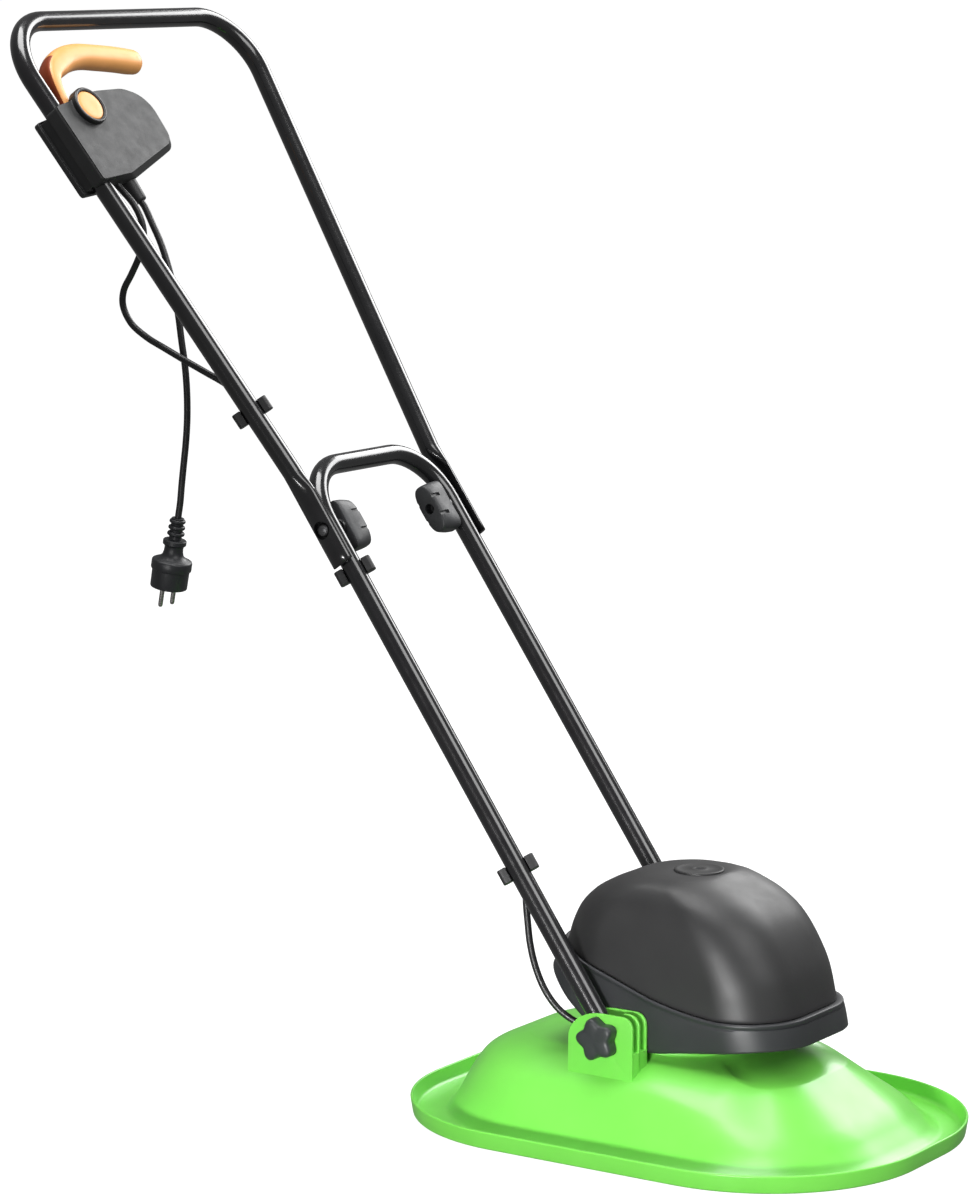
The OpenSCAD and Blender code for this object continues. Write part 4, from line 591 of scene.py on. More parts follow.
def filleted(points, radii, steps=5):
    """Open line with its inner corners rounded."""
    p = [np.asarray(q, float) for q in points]
    line = [p[0]]
    for i in range(1, len(p) - 1):
        u, w = p[i - 1] - p[i], p[i + 1] - p[i]
        u, w = u / np.linalg.norm(u), w / np.linalg.norm(w)
        half = math.acos(max(-1, min(1, float(u @ w)))) / 2
        if radii[i] <= 0 or half > math.pi / 2 - 1e-3:
            line += [p[i]] * (steps + 1)
            continue
        mid = p[i] + (u + w) / np.linalg.norm(u + w) * radii[i] / math.sin(half)
        s, e = (p[i] + v * radii[i] / math.tan(half) - mid for v in (u, w))
        a, b = math.atan2(s[1], s[0]), math.atan2(e[1], e[0])
        turn = (b - a + math.pi) % (2 * math.pi) - math.pi
        bends = [a + turn * k / steps for k in range(steps + 1)]
        line += [mid + radii[i] * np.array([math.cos(bend), math.sin(bend)]) for bend in bends]
    return np.array(line + [p[-1]])


# Deck
DECK_L, DECK_W, DECK_R, WALL = 541.0, 400.0, 168.0, 3.0
LIP_H, LIP_LEAN, FLOOR_W, CROWN = 18.0, 3.0, 17.0, 88.0
INSETS = [.167, .208, .25, .298, .345, .393, .446, .512, .595, .702]
SIDES = [0, 0, .076, .235, .412, .565, .694, .782, .853, .912]
NOSES = [.009, .053, .118, .196, .278, .353, .424, .512, .624, .771]
NOSE_FROM, NOSE_TO = .037, .74
LIP_ROUNDS, LIP_TO_DOME = [0, 3, 1.4, 1.4, 5, 0], 4
COLLAR_R, COLLAR_Z = 76, WALL + (CROWN - WALL) * .953
COLLAR_FOOT = [(COLLAR_R + .5, .3), (COLLAR_R, 1), (COLLAR_R, 7.2)]
COLLAR_MOUTH = [(75.6, 7.8), (75, 8), (69, 8), (68.3, 7.7), (68, 7), (68, -3)]


def smooth_step(t):
    t = np.clip(t, 0, 1)
    return t * t * (3 - 2 * t)


def deck_section(w):
    """Half section from the ground edge over lip and dome: distance in from the rim, and height."""
    lip = filleted([(LIP_LEAN + FLOOR_W, 0), (LIP_LEAN, 0), (0, LIP_H), (WALL, LIP_H),
                    (LIP_LEAN + WALL, WALL), (INSETS[0] * DECK_R - LIP_TO_DOME, WALL)], LIP_ROUNDS)
    inset = np.linspace(INSETS[0], INSETS[-1], 44)
    shares = [a * (1 - w) + b * w for a, b in zip(SIDES, NOSES)]
    rise = eased(list(zip(INSETS, shares)), inset)
    top = np.stack([inset * DECK_R, WALL + (CROWN - WALL) * rise], -1)
    slope = np.arctan2(np.gradient(top[:, 1]), np.gradient(top[:, 0]))
    under = top + WALL * np.stack([np.sin(slope), -np.cos(slope)], -1)
    return lip, top, under[::-1]


def build_deck():
    rim = ring_of(-DECK_L / 2, DECK_L / 2, DECK_W / 2, DECK_R, DECK_R)
    inner = ring_of(WALL - DECK_L / 2, DECK_L / 2 - WALL, DECK_W / 2 - WALL, DECK_R - WALL, DECK_R - WALL)
    inward = (inner - rim) / WALL
    nose = smooth_step((rim[:, 0] / (DECK_L / 2) - NOSE_FROM) / (NOSE_TO - NOSE_FROM))
    sections = [deck_section(w) for w in nose]

    def column(k):
        d = np.array([s[k] for s in sections])
        return np.stack([rim[:, None, 0] + inward[:, None, 0] * d[..., 0],
                         rim[:, None, 1] + inward[:, None, 1] * d[..., 0], d[..., 1]], -1).swapaxes(0, 1)

    lip, top, under = column(0), column(1), column(2)
    crown = top[-1]
    collar = at_level(round_ring(crown[:, :2], 0, COLLAR_R), COLLAR_Z)
    drop = np.array([0, 0, WALL])
    plateau = [crown + (collar - crown) * t for t in (.2, .4, .6, .8, .94)]
    mouth = [at_level(round_ring(crown[:, :2], 0, r), COLLAR_Z + z) for r, z in COLLAR_FOOT + COLLAR_MOUTH]
    below = [crown + (collar - crown) * t - drop for t in (.8, .5, .2)]
    rows = [*lip, *top, *plateau, *mouth, *below, *under]
    shell = loft("deck_shell", from_deck(np.array(rows)), LIME, looped=True, crease=60)
    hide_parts("deck")
    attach(shell, "base")


PLATE_T, PLATE_EDGE, TUBE_GAP, INNER_GAP, SINK = 3.2, .7, .6, 3.8, 3.5
STUD_BORE, INSERT_BORE, HOLE_STEPS, OVERRUN = 4.06, 6.54, 40, 5
BRACKET_REAR, BRACKET_FRONT, BRACKET_TOP, BRACKET_ROUND = 37.5, 35, 23.5, 12
REAR_ROUND, WEB_IN, WEB_DROP = 27, 17, 12


def slab(name, outline, y0, y1, bore=None):
    """Upright bracket plate on an outline in X and Z, with rounded edges and an optional pivot bore."""
    n = len(outline)
    points = [(x, y0, z) for x, z in outline] + [(x, y1, z) for x, z in outline]
    faces = [tuple(range(n)), tuple(range(n, 2 * n))]
    faces += [(i, (i + 1) % n, n + (i + 1) % n, n + i) for i in range(n)]
    piece = make_piece(name, from_deck(points), faces, LIME)
    if bore is not None:
        a = full_turn(HOLE_STEPS)
        x, z = PIVOT_X + bore * np.cos(a), PIVOT_Z + bore * np.sin(a)
        ends = [np.stack([x, np.full(HOLE_STEPS, y), z], -1) for y in (y0 - OVERRUN, y1 + OVERRUN)]
        carve(piece, loft(name + "_cutter", from_deck(ends), LIME))
    round_edges(piece, PLATE_EDGE, segments=3, angle=40)
    piece.data.shade_smooth()
    piece.data.set_sharp_from_angle(angle=math.radians(55))
    return piece


def bracket_foot(y):
    """Height at which a bracket plate ends, a little below the side of the deck."""
    share = float(eased(list(zip(INSETS, SIDES)), (DECK_W / 2 - y) / DECK_R))
    return WALL + (CROWN - WALL) * share - SINK


def build_brackets():
    rear, front, top = PIVOT_X - BRACKET_REAR, PIVOT_X + BRACKET_FRONT, PIVOT_Z + BRACKET_TOP
    web, web_top = PIVOT_X + WEB_IN, PIVOT_Z - WEB_DROP
    arc, r, h = quarter_turn(12), BRACKET_ROUND, REAR_ROUND
    front_arc = [(front - r + r * math.cos(t), top - r + r * math.sin(t)) for t in arc]
    rear_arc = [(PIVOT_X + BRACKET_REAR * math.cos(t), top - h + h * math.sin(t)) for t in arc + math.pi / 2]
    outer, inner = LEG_Y + TUBE_R + TUBE_GAP, LEG_Y - TUBE_R - INNER_GAP
    low, fin_low, half = bracket_foot(outer + PLATE_T), bracket_foot(LEG_Y), PLATE_T / 2
    for side, hand in BOTH_SIDES:
        for label, y, bore in (("outer", outer, STUD_BORE), ("inner", inner, INSERT_BORE)):
            foot = bracket_foot(y + PLATE_T)
            line = [(rear, foot), (front, foot), *front_arc, *rear_arc]
            ys = sorted((side * y, side * (y + PLATE_T)))
            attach(slab(f"bracket_{label}_{hand}", line, *ys, bore), "base")
        line = [(web, fin_low), (front, fin_low), *front_arc, (web, top)]
        ys = sorted((side * (LEG_Y - half), side * (LEG_Y + half)))
        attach(slab(f"bracket_fin_{hand}", line, *ys), "base")
        line = [(web, low), (front, low), (front, web_top), (web, web_top)]
        ys = sorted((side * (inner + half), side * (outer + half)))
        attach(slab(f"bracket_web_{hand}", line, *ys), "base")


build_deck()
build_brackets()

# Hood
FOOT_Z, TOP_Z = 88.0, 250.5
SPAN = TOP_Z - FOOT_Z
FOOT = [(0, .434), (.064, .349), (.139, .229), (.214, .127), (.297, .048), (.391, .006), (.477, .003),
        (.571, .024), (.662, .045), (.748, .063), (.838, .084), (.917, .096), (1, .099)]
SEAM = [(0, .590), (.064, .554), (.139, .518), (.214, .476), (.297, .428), (.391, .373), (.477, .325),
        (.571, .289), (.662, .265), (.748, .253), (1, .253)]
CREST = .988
COVER_LEVELS = [.253, .452, .614, .765, .867, .928, .964, CREST]
COVER_REAR = list(zip(COVER_LEVELS, [1, .974, .931, .849, .724, .586, .474, .336]))
COVER_FRONT = list(zip(COVER_LEVELS, [1, .946, .859, .742, .606, .478, .389, .322]))
COVER_WIDTH = list(zip(COVER_LEVELS, [1, .99, .972, .925, .86, .785, .715, .59]))
SKIRT_REAR, SKIRT_FRONT, SKIRT_HALF, FOOT_REAR_R = 116, 154, 90, 40
SEAM_REAR, SEAM_FRONT, SEAM_REAR_R, FRONT_R = 112, 148, 60, 62
COVER_BACK, COVER_NOSE, COVER_HALF, COVER_CORNER, CORNER_SPARE = 116, 142, 88, .7, 3
HOOD_WALL, CAP_X, LAND_R, SEAT_R, SCREW_R = 3, 12, 27.4, 25.6, 2.1
SEAM_GAP, COVER_EDGE, COVER_EDGE_SHARE = .3, .7, .02
FOOT_ROUND, SKIRT_BULGE, LIP_OUT, LIP_DROP = .8, .5, .9, .05
LEDGE_SAG, LEDGE_DROPS, INNER_DROP, INNER_LIFT = .5, (.8, 3), 4, .3
CAP_PROFILE = [(SCREW_R, 0), (24.5, 0), (24.5, 1.1), (24.2, 1.6), (23.6, 1.9), (22.4, 2.0), (20.6, 1.9),
               (19.8, 1.7), (8.6, 1.7), (8.0, 1.9), (7.0, 2.0), (4.4, 2.0), (3.9, 1.8), (3.9, 1.1),
               (SCREW_R, 1.1), (SCREW_R, 0)]
# Proud top edge of the skirt: how far out and how far above the seam
SKIRT_EDGE = [(.05, -5.5), (.1, -4.4), (.35, -3.6), (.6, -2.4), (.5, -1.2), (.1, -.3), (-.5, -.05)]


def skirt_ring(rear, front, rear_r, grow=0.0):
    return ring_of(-rear - grow, front + grow, SKIRT_HALF + grow, rear_r + grow, FRONT_R + grow)


def skirt_height(table, x):
    """Height of the skirt's foot or seam, which changes along the hood."""
    return FOOT_Z + SPAN * eased(table, (x + SKIRT_REAR) / (SKIRT_REAR + SKIRT_FRONT))


def cover_ring(z, w):
    """Outline of the cover where each point has its own height."""
    share = (z - FOOT_Z) / SPAN
    rear, front = COVER_BACK * eased(COVER_REAR, share) - w, COVER_NOSE * eased(COVER_FRONT, share) - w
    half = COVER_HALF * eased(COVER_WIDTH, share) - w
    rings = {}
    points = np.zeros((len(z), 2))
    for i in range(len(z)):
        key = (round(rear[i], 4), round(front[i], 4), round(half[i], 4))
        if key not in rings:
            r = min(COVER_CORNER * key[2], (key[0] + key[1]) / 2 - CORNER_SPARE)
            rings[key] = ring_of(-key[0], key[1], key[2], r, r)
        points[i] = rings[key][i]
    return points


def build_skirt():
    """Ring round the motor with a proud top edge. Gives the seam line that the cover starts from."""
    foot, foot_in = (skirt_ring(SKIRT_REAR, SKIRT_FRONT, FOOT_REAR_R, grow) for grow in (0, -HOOD_WALL))
    seam, seam_in = (skirt_ring(SEAM_REAR, SEAM_FRONT, SEAM_REAR_R, grow) for grow in (0, -HOOD_WALL))
    foot_z, seam_z = skirt_height(FOOT, foot[:, 0]), skirt_height(SEAM, seam[:, 0])
    cover_z = skirt_height(SEAM, cover_ring(seam_z, 0)[:, 0])
    out = np.stack([np.gradient(seam[:, 1]), -np.gradient(seam[:, 0])], -1)
    out /= np.linalg.norm(out, axis=1, keepdims=True)
    low, high = at_level(foot, foot_z), at_level(seam, seam_z)

    def wall(t, push, rise=0.0):
        p = low + (high - low) * t
        return np.concatenate([p[:, :2] + out * push, p[:, 2:] + rise], 1)

    ledge, lip = cover_ring(cover_z, HOOD_WALL), cover_ring(cover_z, -LIP_OUT)
    ledge_z, lip_z = skirt_height(SEAM, ledge[:, 0]), skirt_height(SEAM, lip[:, 0])
    bulge = [wall(t, SKIRT_BULGE * math.sin(math.pi * t)) for t in np.linspace(.08, .8, 10)]
    edge = [wall(1, push, rise) for push, rise in SKIRT_EDGE]
    rows = [wall(0, -FOOT_ROUND), wall(0, 0, FOOT_ROUND), *bulge, *edge, at_level(lip, lip_z - LIP_DROP),
            at_level(lip * .5 + ledge * .5, (lip_z + ledge_z) / 2 - LEDGE_SAG),
            *[at_level(ledge, ledge_z - drop) for drop in LEDGE_DROPS],
            at_level(seam_in, seam_z - INNER_DROP), at_level(foot_in, foot_z + INNER_LIFT)]
    skirt = loft("hood_skirt", from_deck(np.array(rows)), SKIRT, looped=True, crease=70)
    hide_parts("hood_base")
    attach(skirt, "base")
    return cover_z


def build_cover(cover_z):
    """Domed shell from its own seam line up to the seat of the cap."""
    crest = FOOT_Z + SPAN * CREST
    start = cover_z + SEAM_GAP
    rises = np.concatenate([[0, .012, .03], np.linspace(.06, 1, 30)])
    heights = [start + (crest - start) * f for f in rises]
    insets = [COVER_EDGE * max(0, 1 - f / COVER_EDGE_SHARE) ** 2 for f in rises]
    outer = [at_level(cover_ring(z, inset), z) for inset, z in zip(insets, heights)]
    land = at_level(round_ring(outer[-1][:, :2], CAP_X, LAND_R), TOP_Z)
    brow = [outer[-1] + (land - outer[-1]) * np.array([t, t, 1 - (1 - t) ** 2]) for t in (.3, .6, .85, 1)]
    hole = [at_level(round_ring(land[:, :2], CAP_X, r), TOP_Z - z)
            for r, z in ((SEAT_R, 0), (SCREW_R, 0), (SCREW_R, HOOD_WALL))]
    inner = [at_level(cover_ring(z, HOOD_WALL), z - HOOD_WALL * f * f)
             for f, z in zip(rises[::-3], heights[::-3])]
    rows = [*outer, *brow, *hole, land - np.array([0, 0, HOOD_WALL]), *inner]
    cover = loft("hood_shell", from_deck(np.array(rows)), HOOD, looped=True, crease=50)
    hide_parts("hood_cover")
    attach(cover, "base")


def build_cap():
    def on_top(p):
        return from_deck(p + np.array([CAP_X, 0, TOP_Z]))
    cap = lathe("hood_cap_disc", CAP_PROFILE, on_top, HOOD, steps=72)
    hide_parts("hood_cap")
    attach(cap, "base")


build_cover(build_skirt())
build_cap()


# Handle tubes
TUBE_SIDES, FOOT_S = 40, -11
LOWER_BEND_R, LOWER_BEND_S = 60, 572
TOP_S, LOOP_R = 1162, 62
SPLICE_GAP, FLAT_HALF, FLAT_T, FLAT_ROUND = .3, 12.5, 8, .85
FLAT_END, FLAT_STOPS, FLAT_TO = 527, (535, 550, 565, 580, 592), 603
# Inset and distance in from the end, round the mouth of the flattened end
FLAT_MOUTH = [(1, 9), (1, .3), (.7, 0), (.3, 0), (0, .3)]
LOWER_STOPS, UPPER_STOPS = (FOOT_S, 200, 400), (700, 800, 900, 1000)
SEAT_BORE, SEAT_SKIN, SEAT_DEPTH = 9, 1.2, 20


def across(side, s):
    """Places a piece turned about Y: its height runs outward from the centre plane on that side."""
    def place(p):
        return from_handle(np.stack([p[..., 0], side * p[..., 2], s + p[..., 1]], -1))
    return place


def build_lower_handle():
    r = LOWER_BEND_R
    left = [(0, LEG_Y, s) for s in LOWER_STOPS]
    left += [(0, LEG_Y - r + r * math.cos(t), LOWER_BEND_S + r * math.sin(t)) for t in quarter_turn(14)]
    line = left + [(0, -y, s) for _, y, s in reversed(left)]
    tube = grown("handle_lower_tube", from_handle(line), TUBE, Radius=TUBE_R / 1000, Sides=TUBE_SIDES,
                 Finish=ENAMEL)
    tube.data.set_sharp_from_angle(angle=math.radians(60))
    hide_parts("lower_handle")
    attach(tube, "lower_handle")


def build_upper_handle():
    """Loop from a flattened end over the flare and the round of the top bar, and mirrored back."""
    a = full_turn(TUBE_SIDES)
    flat_y = LEG_Y + TUBE_R + SPLICE_GAP

    def flat(inset, s):
        up = np.maximum(np.sin(a), 0) ** FLAT_ROUND
        return np.stack([(FLAT_HALF - inset) * np.cos(a), flat_y + inset + (FLAT_T - 2 * inset) * up,
                         np.full(TUBE_SIDES, s)], -1)

    def tube(y, s, turn):
        return np.stack([TUBE_R * np.cos(a), y + TUBE_R * np.sin(a) * math.cos(turn),
                         s + TUBE_R * np.sin(a) * math.sin(turn)], -1)

    rows = [flat(inset, FLAT_END + s) for inset, s in FLAT_MOUTH]
    rows += [flat(0, s) for s in FLAT_STOPS]
    first, last = flat(0, FLAT_TO), tube(FLARE_Y, FLARE_S, -FLARE)
    for f in np.linspace(0, 1, 14):
        e = smooth_step(f)
        rows.append(first + (last - first) * np.array([e, e, f]))
    arc_s = TOP_S - LOOP_R
    arc_y = flare_y(arc_s - LOOP_R * math.sin(FLARE)) - LOOP_R * math.cos(FLARE)
    rows += [tube(flare_y(s), s, -FLARE) for s in UPPER_STOPS]
    for t in np.linspace(-FLARE, math.pi / 2, 22):
        rows.append(tube(arc_y + LOOP_R * math.cos(t), arc_s + LOOP_R * math.sin(t), t))
    mirrored = [r * np.array([1, -1, 1]) for r in reversed(rows)]
    piece = loft("handle_upper_tube", from_handle(np.array(rows + mirrored)), ENAMEL, crease=50)
    seat = [(SEAT_BORE, flat_y + SEAT_SKIN), (SEAT_BORE, flat_y + SEAT_DEPTH)]
    for side in (-1, 1):
        carve(piece, lathe("seat_cutter", seat, across(side, FOLD_S), ENAMEL))
    piece.data.set_sharp_from_angle(angle=math.radians(50))
    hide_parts("upper_handle")
    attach(piece, "upper_handle")


build_lower_handle()
build_upper_handle()


# Knobs and bolts
STAR_GAP, BOSS_H, HEAD_SKIN = .3, 4.5, 1.04
STAR_Y = LEG_Y + TUBE_R + TUBE_GAP + PLATE_T + STAR_GAP
WING_Y = LEG_Y - TUBE_R - SPLICE_GAP - BOSS_H
HEAD_Y = LEG_Y + TUBE_R + SPLICE_GAP + HEAD_SKIN
STAR_R, STAR_LOBE, STAR_POINTS = 18.5, 2.6, 5
RECESS_R, RECESS_H, RECESS_TO = 5.5, 16.2, 40
BOLT_R, HEAD_R, HEAD_H, HEAD_EDGE = 4, 7, 4.5, 1.5
NOTCH_IN, NOTCH_OUT, NOTCH_UP, NOTCH_HALF, NOTCH_DEPTHS = 9.4, 16, 10.3, 1.9, (14, 30)
NOTCH_CORNERS = ((NOTCH_IN, -1), (NOTCH_OUT, -1), (NOTCH_OUT, 1), (NOTCH_IN, 1))
# Growth of the star's outline, and height above its seat
STAR_LEVELS = [(-5, 0), (-.7, 0), (0, .7), (0, 10.2), (-.3, 11.7), (-1.1, 12.9), (-2.4, 13.7), (-4.2, 14.1),
               (-7, 14.3), (-10, 14.4), (-13, 14.5)]
# Half width, half length, squareness and waist of the wing, and depth below its seat
WING_LEVELS = [(10.6, 25.6, .5, .16, 0), (11.6, 26.6, .5, .16, .5), (12, 27, .5, .15, 1.6),
               (12, 27, .52, .12, 6), (12, 26.9, .56, .06, 12), (11.7, 26.4, .62, 0, 18),
               (11.2, 25.8, .66, -.03, 23), (10.8, 25.4, .68, -.04, 25.4), (10, 24.6, .7, -.04, 26.5),
               (8.6, 23.2, .72, -.03, 27)]
BOSS_PROFILE = [(r, WING_Y + h) for r, h in ((4.1, -.5), (8, -.5), (8, 4), (7.5, BOSS_H), (4.1, BOSS_H),
                                             (4.1, -.5))]
BOLT_PROFILE = [(0, WING_Y - RECESS_H), (3.6, WING_Y - RECESS_H), (BOLT_R, WING_Y - 15.7), (BOLT_R, HEAD_Y),
                (6.6, HEAD_Y), (HEAD_R, HEAD_Y + .5)]
BOLT_PROFILE += [(HEAD_R * math.cos(t), HEAD_Y + HEAD_EDGE + HEAD_H * math.sin(t))
                 for t in np.radians([0, 14, 28, 42, 56, 72, 90])]


def star_outline(grow):
    a = full_turn(120)
    r = STAR_R + grow + STAR_LOBE * np.cos(STAR_POINTS * a)
    return np.stack([r * np.cos(a), r * np.sin(a)], -1)


def wing_outline(half_w, half_l, power, waist):
    """Long rounded outline, drawn in at the middle of its sides."""
    a = full_turn(96)
    x, y = (np.sign(v) * np.abs(v) ** power for v in (np.cos(a), np.sin(a)))
    return np.stack([half_w * x * (1 - waist * (1 - y * y)), half_l * y], -1)


def build_pivot_star(side, hand):
    place = across(side, 0)
    rows = [place(at_level(star_outline(grow), STAR_Y + h)) for grow, h in STAR_LEVELS]
    star = loft("pivot_star_" + hand, rows, STAR, crease=55)
    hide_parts("pivot_knob_" + hand)
    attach(star, "pivot_knob_" + hand)


def build_fold_knob(side, hand):
    """Two-tier bar with four notches and a recess, its boss, and the bolt that it turns on."""
    place = across(side, FOLD_S)
    rows = [place(at_level(wing_outline(*shape), WING_Y - h)) for *shape, h in WING_LEVELS]
    wing = loft("fold_wing_" + hand, rows, KNOB_RIM, crease=45)
    for x in (-1, 1):
        for y in (-1, 1):
            ring = np.array([(x * reach, y * NOTCH_UP + up * NOTCH_HALF) for reach, up in NOTCH_CORNERS])
            ends = [place(at_level(ring, WING_Y - depth)) for depth in NOTCH_DEPTHS]
            carve(wing, loft("notch_cutter", ends, KNOB_RIM))
    recess = [(RECESS_R, WING_Y - RECESS_H), (RECESS_R, WING_Y - RECESS_TO)]
    carve(wing, lathe("recess_cutter", recess, place, KNOB_RIM, steps=40))
    wing.data.set_sharp_from_angle(angle=math.radians(40))
    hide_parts("fold_knob_" + hand)
    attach(wing, "fold_knob_" + hand)
    boss = lathe("fold_boss_" + hand, BOSS_PROFILE, place, KNOB_BLACK, steps=40)
    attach(boss, "fold_knob_" + hand)
    bolt = lathe("fold_bolt_" + hand, BOLT_PROFILE, place, BOLT_STEEL)
    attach(bolt, "upper_handle")
    if side < 0:
        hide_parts("fold_bolts")


for side, hand in BOTH_SIDES:
    build_pivot_star(side, hand)
    build_fold_knob(side, hand)


# Switch box
for node, width, finish, body in (("switch_housing", .9, BOX, "upper_handle"),
                                  ("switch_cover", .9, BOX_BACK, "upper_handle"),
                                  ("cable_clips", .7, CLIP_BLACK, "lower_handle"),
                                  ("upper_clip", .7, CLIP_BLACK, "upper_handle")):
    dressed = softened(node, width, finish)
    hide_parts(node)
    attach(dressed, body)


BOX_FACE = [(-15, -36.5), (32, -38.8), (125.8, -19.4), (130.8, 33), (100.8, 49.3), (55, 54.8), (-15, 49.3)]
BOX_FOOT = [(-15, -36.8), (44, -43), (136, -23), (133.5, 33), (102, 50), (55, 55.2), (-15, 49.4)]
BOX_ROUNDS = [0, 3, 13, 16, 31, 39, 79, 3, 0]
# Share of the way from the foot to the face, and height out of the handle plane
BOX_LEVELS = [(0, .2), (0, 8.4), (.03, 9), (.1, 9.7), (.9, 16), (.96, 16.6), (1, 16.95)]


def box_outline(corners):
    middle = (np.array(corners[0]) + np.array(corners[-1])) / 2
    return filleted([middle, *corners, middle], BOX_ROUNDS, steps=12)[:-1]


def build_box_edge():
    """Chamfered edge below and beside the face of the box."""
    inner, outer = box_outline(BOX_FACE), box_outline(BOX_FOOT)
    rows = []
    for f, n in BOX_LEVELS:
        ring = outer + (inner - outer) * f
        rows.append(from_switch(np.concatenate([np.full((len(ring), 1), n), ring], 1)))
    edge = loft("box_edge", rows, BOX, crease=50)
    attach(edge, "upper_handle")


build_box_edge()


# Lever and button
# Across and up the handle, with the shares of full width and depth, and the squareness
LEVER_ROUTE = [(-162, 1058, .45, .7, .5), (-163, 1072, .45, .85, .5), (-162, 1086, .5, .97, .5),
               (-155, 1099, .72, 1, .55), (-140, 1109, .96, 1, .7), (-122, 1116, 1, 1, .8),
               (-100, 1119, 1, 1, .85), (-72, 1117, 1, 1, .85), (-44, 1114, 1, 1, .85),
               (-24, 1111, 1, 1, .9), (-14, 1110, .93, .93, .95), (-9, 1109, .62, .62, 1)]
# Weight of a share beside a millimetre, where the spline spaces its points
SHARE_SCALE = 10
LEVER_HALF_W, LEVER_HALF_D, LEVER_N, LEVER_SIDES = 13.5, 11, -1, 40
FLANK_TO_Y, FLANK_SIDES = -145, (*range(0, 5), *range(31, LEVER_SIDES))
PIN_IN, PIN_UP, BUTTON_IN, BUTTON_UP = 22, 44, 30, 39.5
HUB_PROFILE = [(2.6, -6.5), (7.9, -6.5), (8.5, -5.9), (8.5, 3.9), (7.9, 4.5), (2.6, 4.5), (2.6, -6.5)]
FACE_N, RIM_H, BUTTON_SINK = 17, 5.5, .8
BUTTON_N = FACE_N + RIM_H - BUTTON_SINK
DISC_PROFILE = [(0, -5), (16.1, -5), (16.5, -4.6), (16.5, -1.2), (16.1, -.5), (15, 0), (12, .25), (6, .1),
                (0, 0)]
RIM_PROFILE = [(16.7, -9), (20.7, -9), (20.7, -.6), (20.3, .5), (19.4, 1.1), (18.4, 1.1), (17.5, .6),
               (17, -.6), (16.7, -3), (16.7, -9)]


def build_grip():
    route = np.array(LEVER_ROUTE, float)
    line = spline(np.concatenate([route[:, :2], route[:, 2:] * SHARE_SCALE], 1), steps=6)
    path, shares = line[:, :2], line[:, 2:] / SHARE_SCALE
    u = np.gradient(path, axis=0)
    u /= np.linalg.norm(u, axis=1, keepdims=True)
    a = full_turn(LEVER_SIDES)
    rows = []
    for p, d, (w, h, e) in zip(path, u, shares):
        c, s = (np.sign(v) * np.abs(v) ** e for v in (np.cos(a), np.sin(a)))
        rows.append(np.stack([LEVER_HALF_D * h * s + LEVER_N, p[0] - d[1] * LEVER_HALF_W * w * c,
                              p[1] + d[0] * LEVER_HALF_W * w * c], -1))
    grip = loft("lever_grip", from_handle(np.array(rows)), ORANGE, crease=60)
    # The outer flank of the stem is darker than its front: its dark red-brown finish is painted shade on the
    # same orange plastic
    grip.data.materials.append(FLANK_PAINTED_SHADE)
    for j in np.flatnonzero(path[:, 0] < FLANK_TO_Y):
        for i in FLANK_SIDES:
            grip.data.polygons[int(j) * LEVER_SIDES + i].material_index = 1
    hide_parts("switch_lever")
    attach(grip, "lever")


def build_hub_and_button():
    def on_pin(p):
        return from_switch(np.stack([p[..., 2], PIN_IN + p[..., 0], PIN_UP + p[..., 1]], -1))

    def on_face(p):
        return from_switch(np.stack([BUTTON_N + p[..., 2], BUTTON_IN + p[..., 0], BUTTON_UP + p[..., 1]], -1))

    hub = lathe("lever_hub", HUB_PROFILE, on_pin, ORANGE)
    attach(hub, "lever")
    disc = lathe("lock_disc", DISC_PROFILE, on_face, ORANGE, steps=64, crease=60)
    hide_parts("lock_button")
    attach(disc, "button")
    rim = lathe("button_rim", RIM_PROFILE, on_face, KNOB_BLACK, steps=72, crease=60)
    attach(rim, "upper_handle")


build_grip()
build_hub_and_button()

# Gland, plug
GLAND_PROFILE = [(3.5, -6), (6.5, -6), (6.5, -.2), (7.6, 0), (8, .6), (7.9, 6), (6.8, 23.6), (6.4, 25.2),
                 (5.4, GLAND_L), (3.5, GLAND_L), (3.5, -6)]
PLUG_AT, PLUG_TILT = (-524, -124, 567), math.radians(10.5)
PLUG_L, PIN_SPREAD = 72.8, 9.5
PLUG_PROFILE = [(3.5, 0), (6.2, 0), (6.6, .5), (6.2, 1.2), (6.4, 22), (11.2, 22.6), (11.9, 23.4),
                (11.9, 27.2), (11.2, 28), (9.9, 29), (9.5, 31), (9.8, 35), (11, 39), (15, 42), (18.6, 43.2),
                (20, 44), (20.5, 45), (20.5, 52.6), (20.1, 53.4), (19, 54), (18.9, 55), (18.7, 71.4),
                (18.2, 72.4), (17.4, PLUG_L), (0, PLUG_L)]
PIN_PROFILE = [(2.4, 0), (2.4, 16), (2.2, 17.6), (1.5, 18.7), (0, 19)]
RIB_COUNT, RIB_FROM, RIB_STEP = 3, 3.4, 6.4


def build_gland():
    def below_box(p):
        return from_switch(np.stack([p[..., 0], GLAND_IN + p[..., 1], -BOX_LOW - p[..., 2]], -1))
    stem = lathe("gland_stem", GLAND_PROFILE, below_box, CLIP_BLACK, steps=48)
    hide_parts("lead_gland")
    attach(stem, "upper_handle")


def on_plug(p):
    """Plug frame: its height runs down from the top of the strain relief."""
    x, y, h = p[..., 0], p[..., 1], -p[..., 2]
    c, s = math.cos(PLUG_TILT), math.sin(PLUG_TILT)
    return from_deck(np.stack([PLUG_AT[0] + x * c + h * s, PLUG_AT[1] + y, PLUG_AT[2] - x * s + h * c], -1))


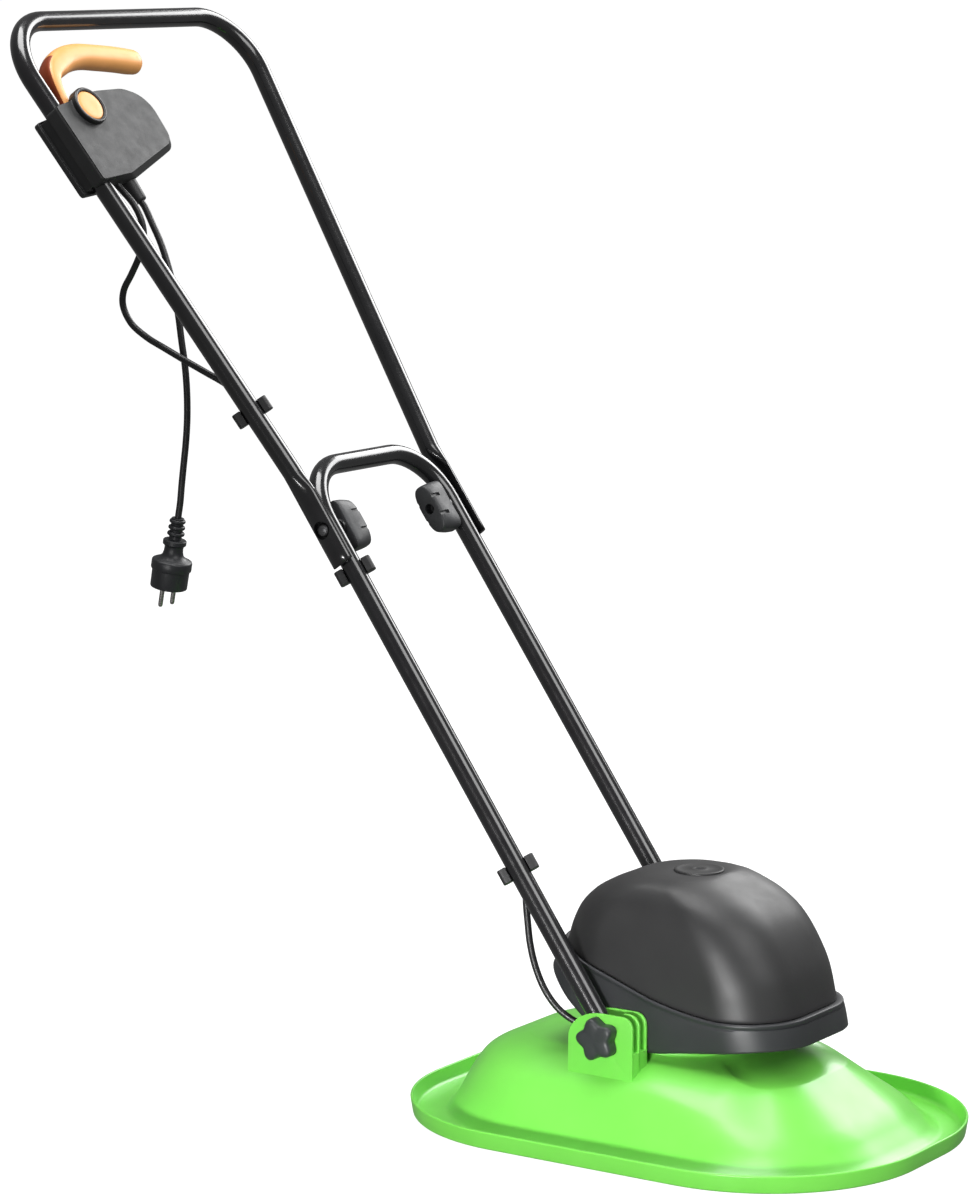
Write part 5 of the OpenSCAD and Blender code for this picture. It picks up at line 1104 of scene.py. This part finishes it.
def build_plug():
    body = lathe("plug_shell", PLUG_PROFILE, on_plug, PLUG, steps=72)
    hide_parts("plug_body")
    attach(body, "upper_handle")
    line = on_plug(np.array([[0, 0, RIB_FROM + RIB_STEP * k] for k in range(RIB_COUNT)], float))
    down = line[-1] - line[0]
    ribs = grown("plug_ribs", line, RIBS, Radius=.0062, Taper=.04, Bead=.0021,
                 Direction=tuple(down / np.linalg.norm(down)), Finish=PLUG)
    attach(ribs, "upper_handle")
    pins = []
    for side, hand in BOTH_SIDES:
        def on_pin(p, side=side):
            return on_plug(p + np.array([0, side * PIN_SPREAD, PLUG_L]))
        pin = lathe("plug_pin_" + hand, PIN_PROFILE, on_pin, PIN_METAL, steps=28)
        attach(pin, "upper_handle")
        pins.append(pin)
    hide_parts("plug_pins")
    return [body, ribs, *pins]


build_gland()
plug_pieces = build_plug()

# Solids that keep their CAD shape
CARRIED = {
    "bracket_inserts": BRASS, "hood_screw": DARK_STEEL, "motor_plate": CAST_METAL, "plate_screws": STEEL,
    "motor_tray": FAN, "tray_screws": STEEL, "stator": STACK, "motor_bracket": CAST_METAL,
    "lower_bearing": STEEL, "upper_bearing": STEEL, "brush_holders": FIBRE, "carbon_brushes": CARBON,
    "terminal_block": CREAM, "cable_grommet": JACKET, "shaft": STEEL, "armature": COPPER,
    "commutator": COPPER, "impeller": FAN, "blade_spacer": YELLOW, "blade": BLADE_STEEL,
    "blade_washer": STEEL, "blade_bolt": STEEL, "pivot_stud_right": STEEL, "pivot_stud_left": STEEL,
    "switch_screws": STEEL, "lever_pin": STEEL, "micro_switch": KNOB_BLACK, "capacitor": YELLOW}
for node, finish in CARRIED.items():
    for slot in NODES[node].material_slots:
        slot.material = finish


# Studio
SKY_STRENGTH, FLOOR_HALF = 0.21, 90
# Name, place, what it points at, size in metres, watts and spread in degrees
LAMPS = [("key_softbox", (3.2, -0.5, 3.0), (0, 0, .5), (2.2, 2.2), 82, 180),
         ("top_softbox", (-0.3, -0.1, 4.2), (0, 0, .3), (2.2, 2.2), 142, 180),
         ("back_softbox", (0.3, 3.4, 2.6), (0, 0, .6), (2.6, 1.6), 110, 180),
         ("low_fill", (0.9, -3.2, 0.3), (.2, -.1, .03), (1.6, .3), 4.6, 24)]


def floor_paint():
    f = Finish("floor_paint", (0.2, 0.2, 0.2), 0.9, Emission_Strength=0.97,
               Emission_Color=(1.0, 1.0, 1.0, 1.0))
    f.tint(f.noise(0.6, 2.0), (0.198, 0.198, 0.198), (0.202, 0.202, 0.202))
    return f.material


def build_studio():
    SCENE.view_settings.view_transform = "Standard"
    world = bpy.data.worlds.new("studio")
    world.use_nodes = True
    sky = world.node_tree.nodes["Background"].inputs
    sky["Color"].default_value = (1.0, 1.0, 1.0, 1.0)
    sky["Strength"].default_value = SKY_STRENGTH
    SCENE.world = world
    r = FLOOR_HALF
    corners = [(-r, -r, 0), (r, -r, 0), (r, r, 0), (-r, r, 0)]
    floor = make_piece("studio_floor", corners, [(0, 1, 2, 3)], floor_paint())
    floor.visible_diffuse = False
    floor.visible_glossy = False
    for name, spot, aim, size, watts, beam in LAMPS:
        data = bpy.data.lights.new(name, "AREA")
        data.spread = math.radians(beam)
        data.shape, data.size, data.size_y, data.energy = "RECTANGLE", *size, watts
        set_up(name, data, spot, aim)


build_studio()
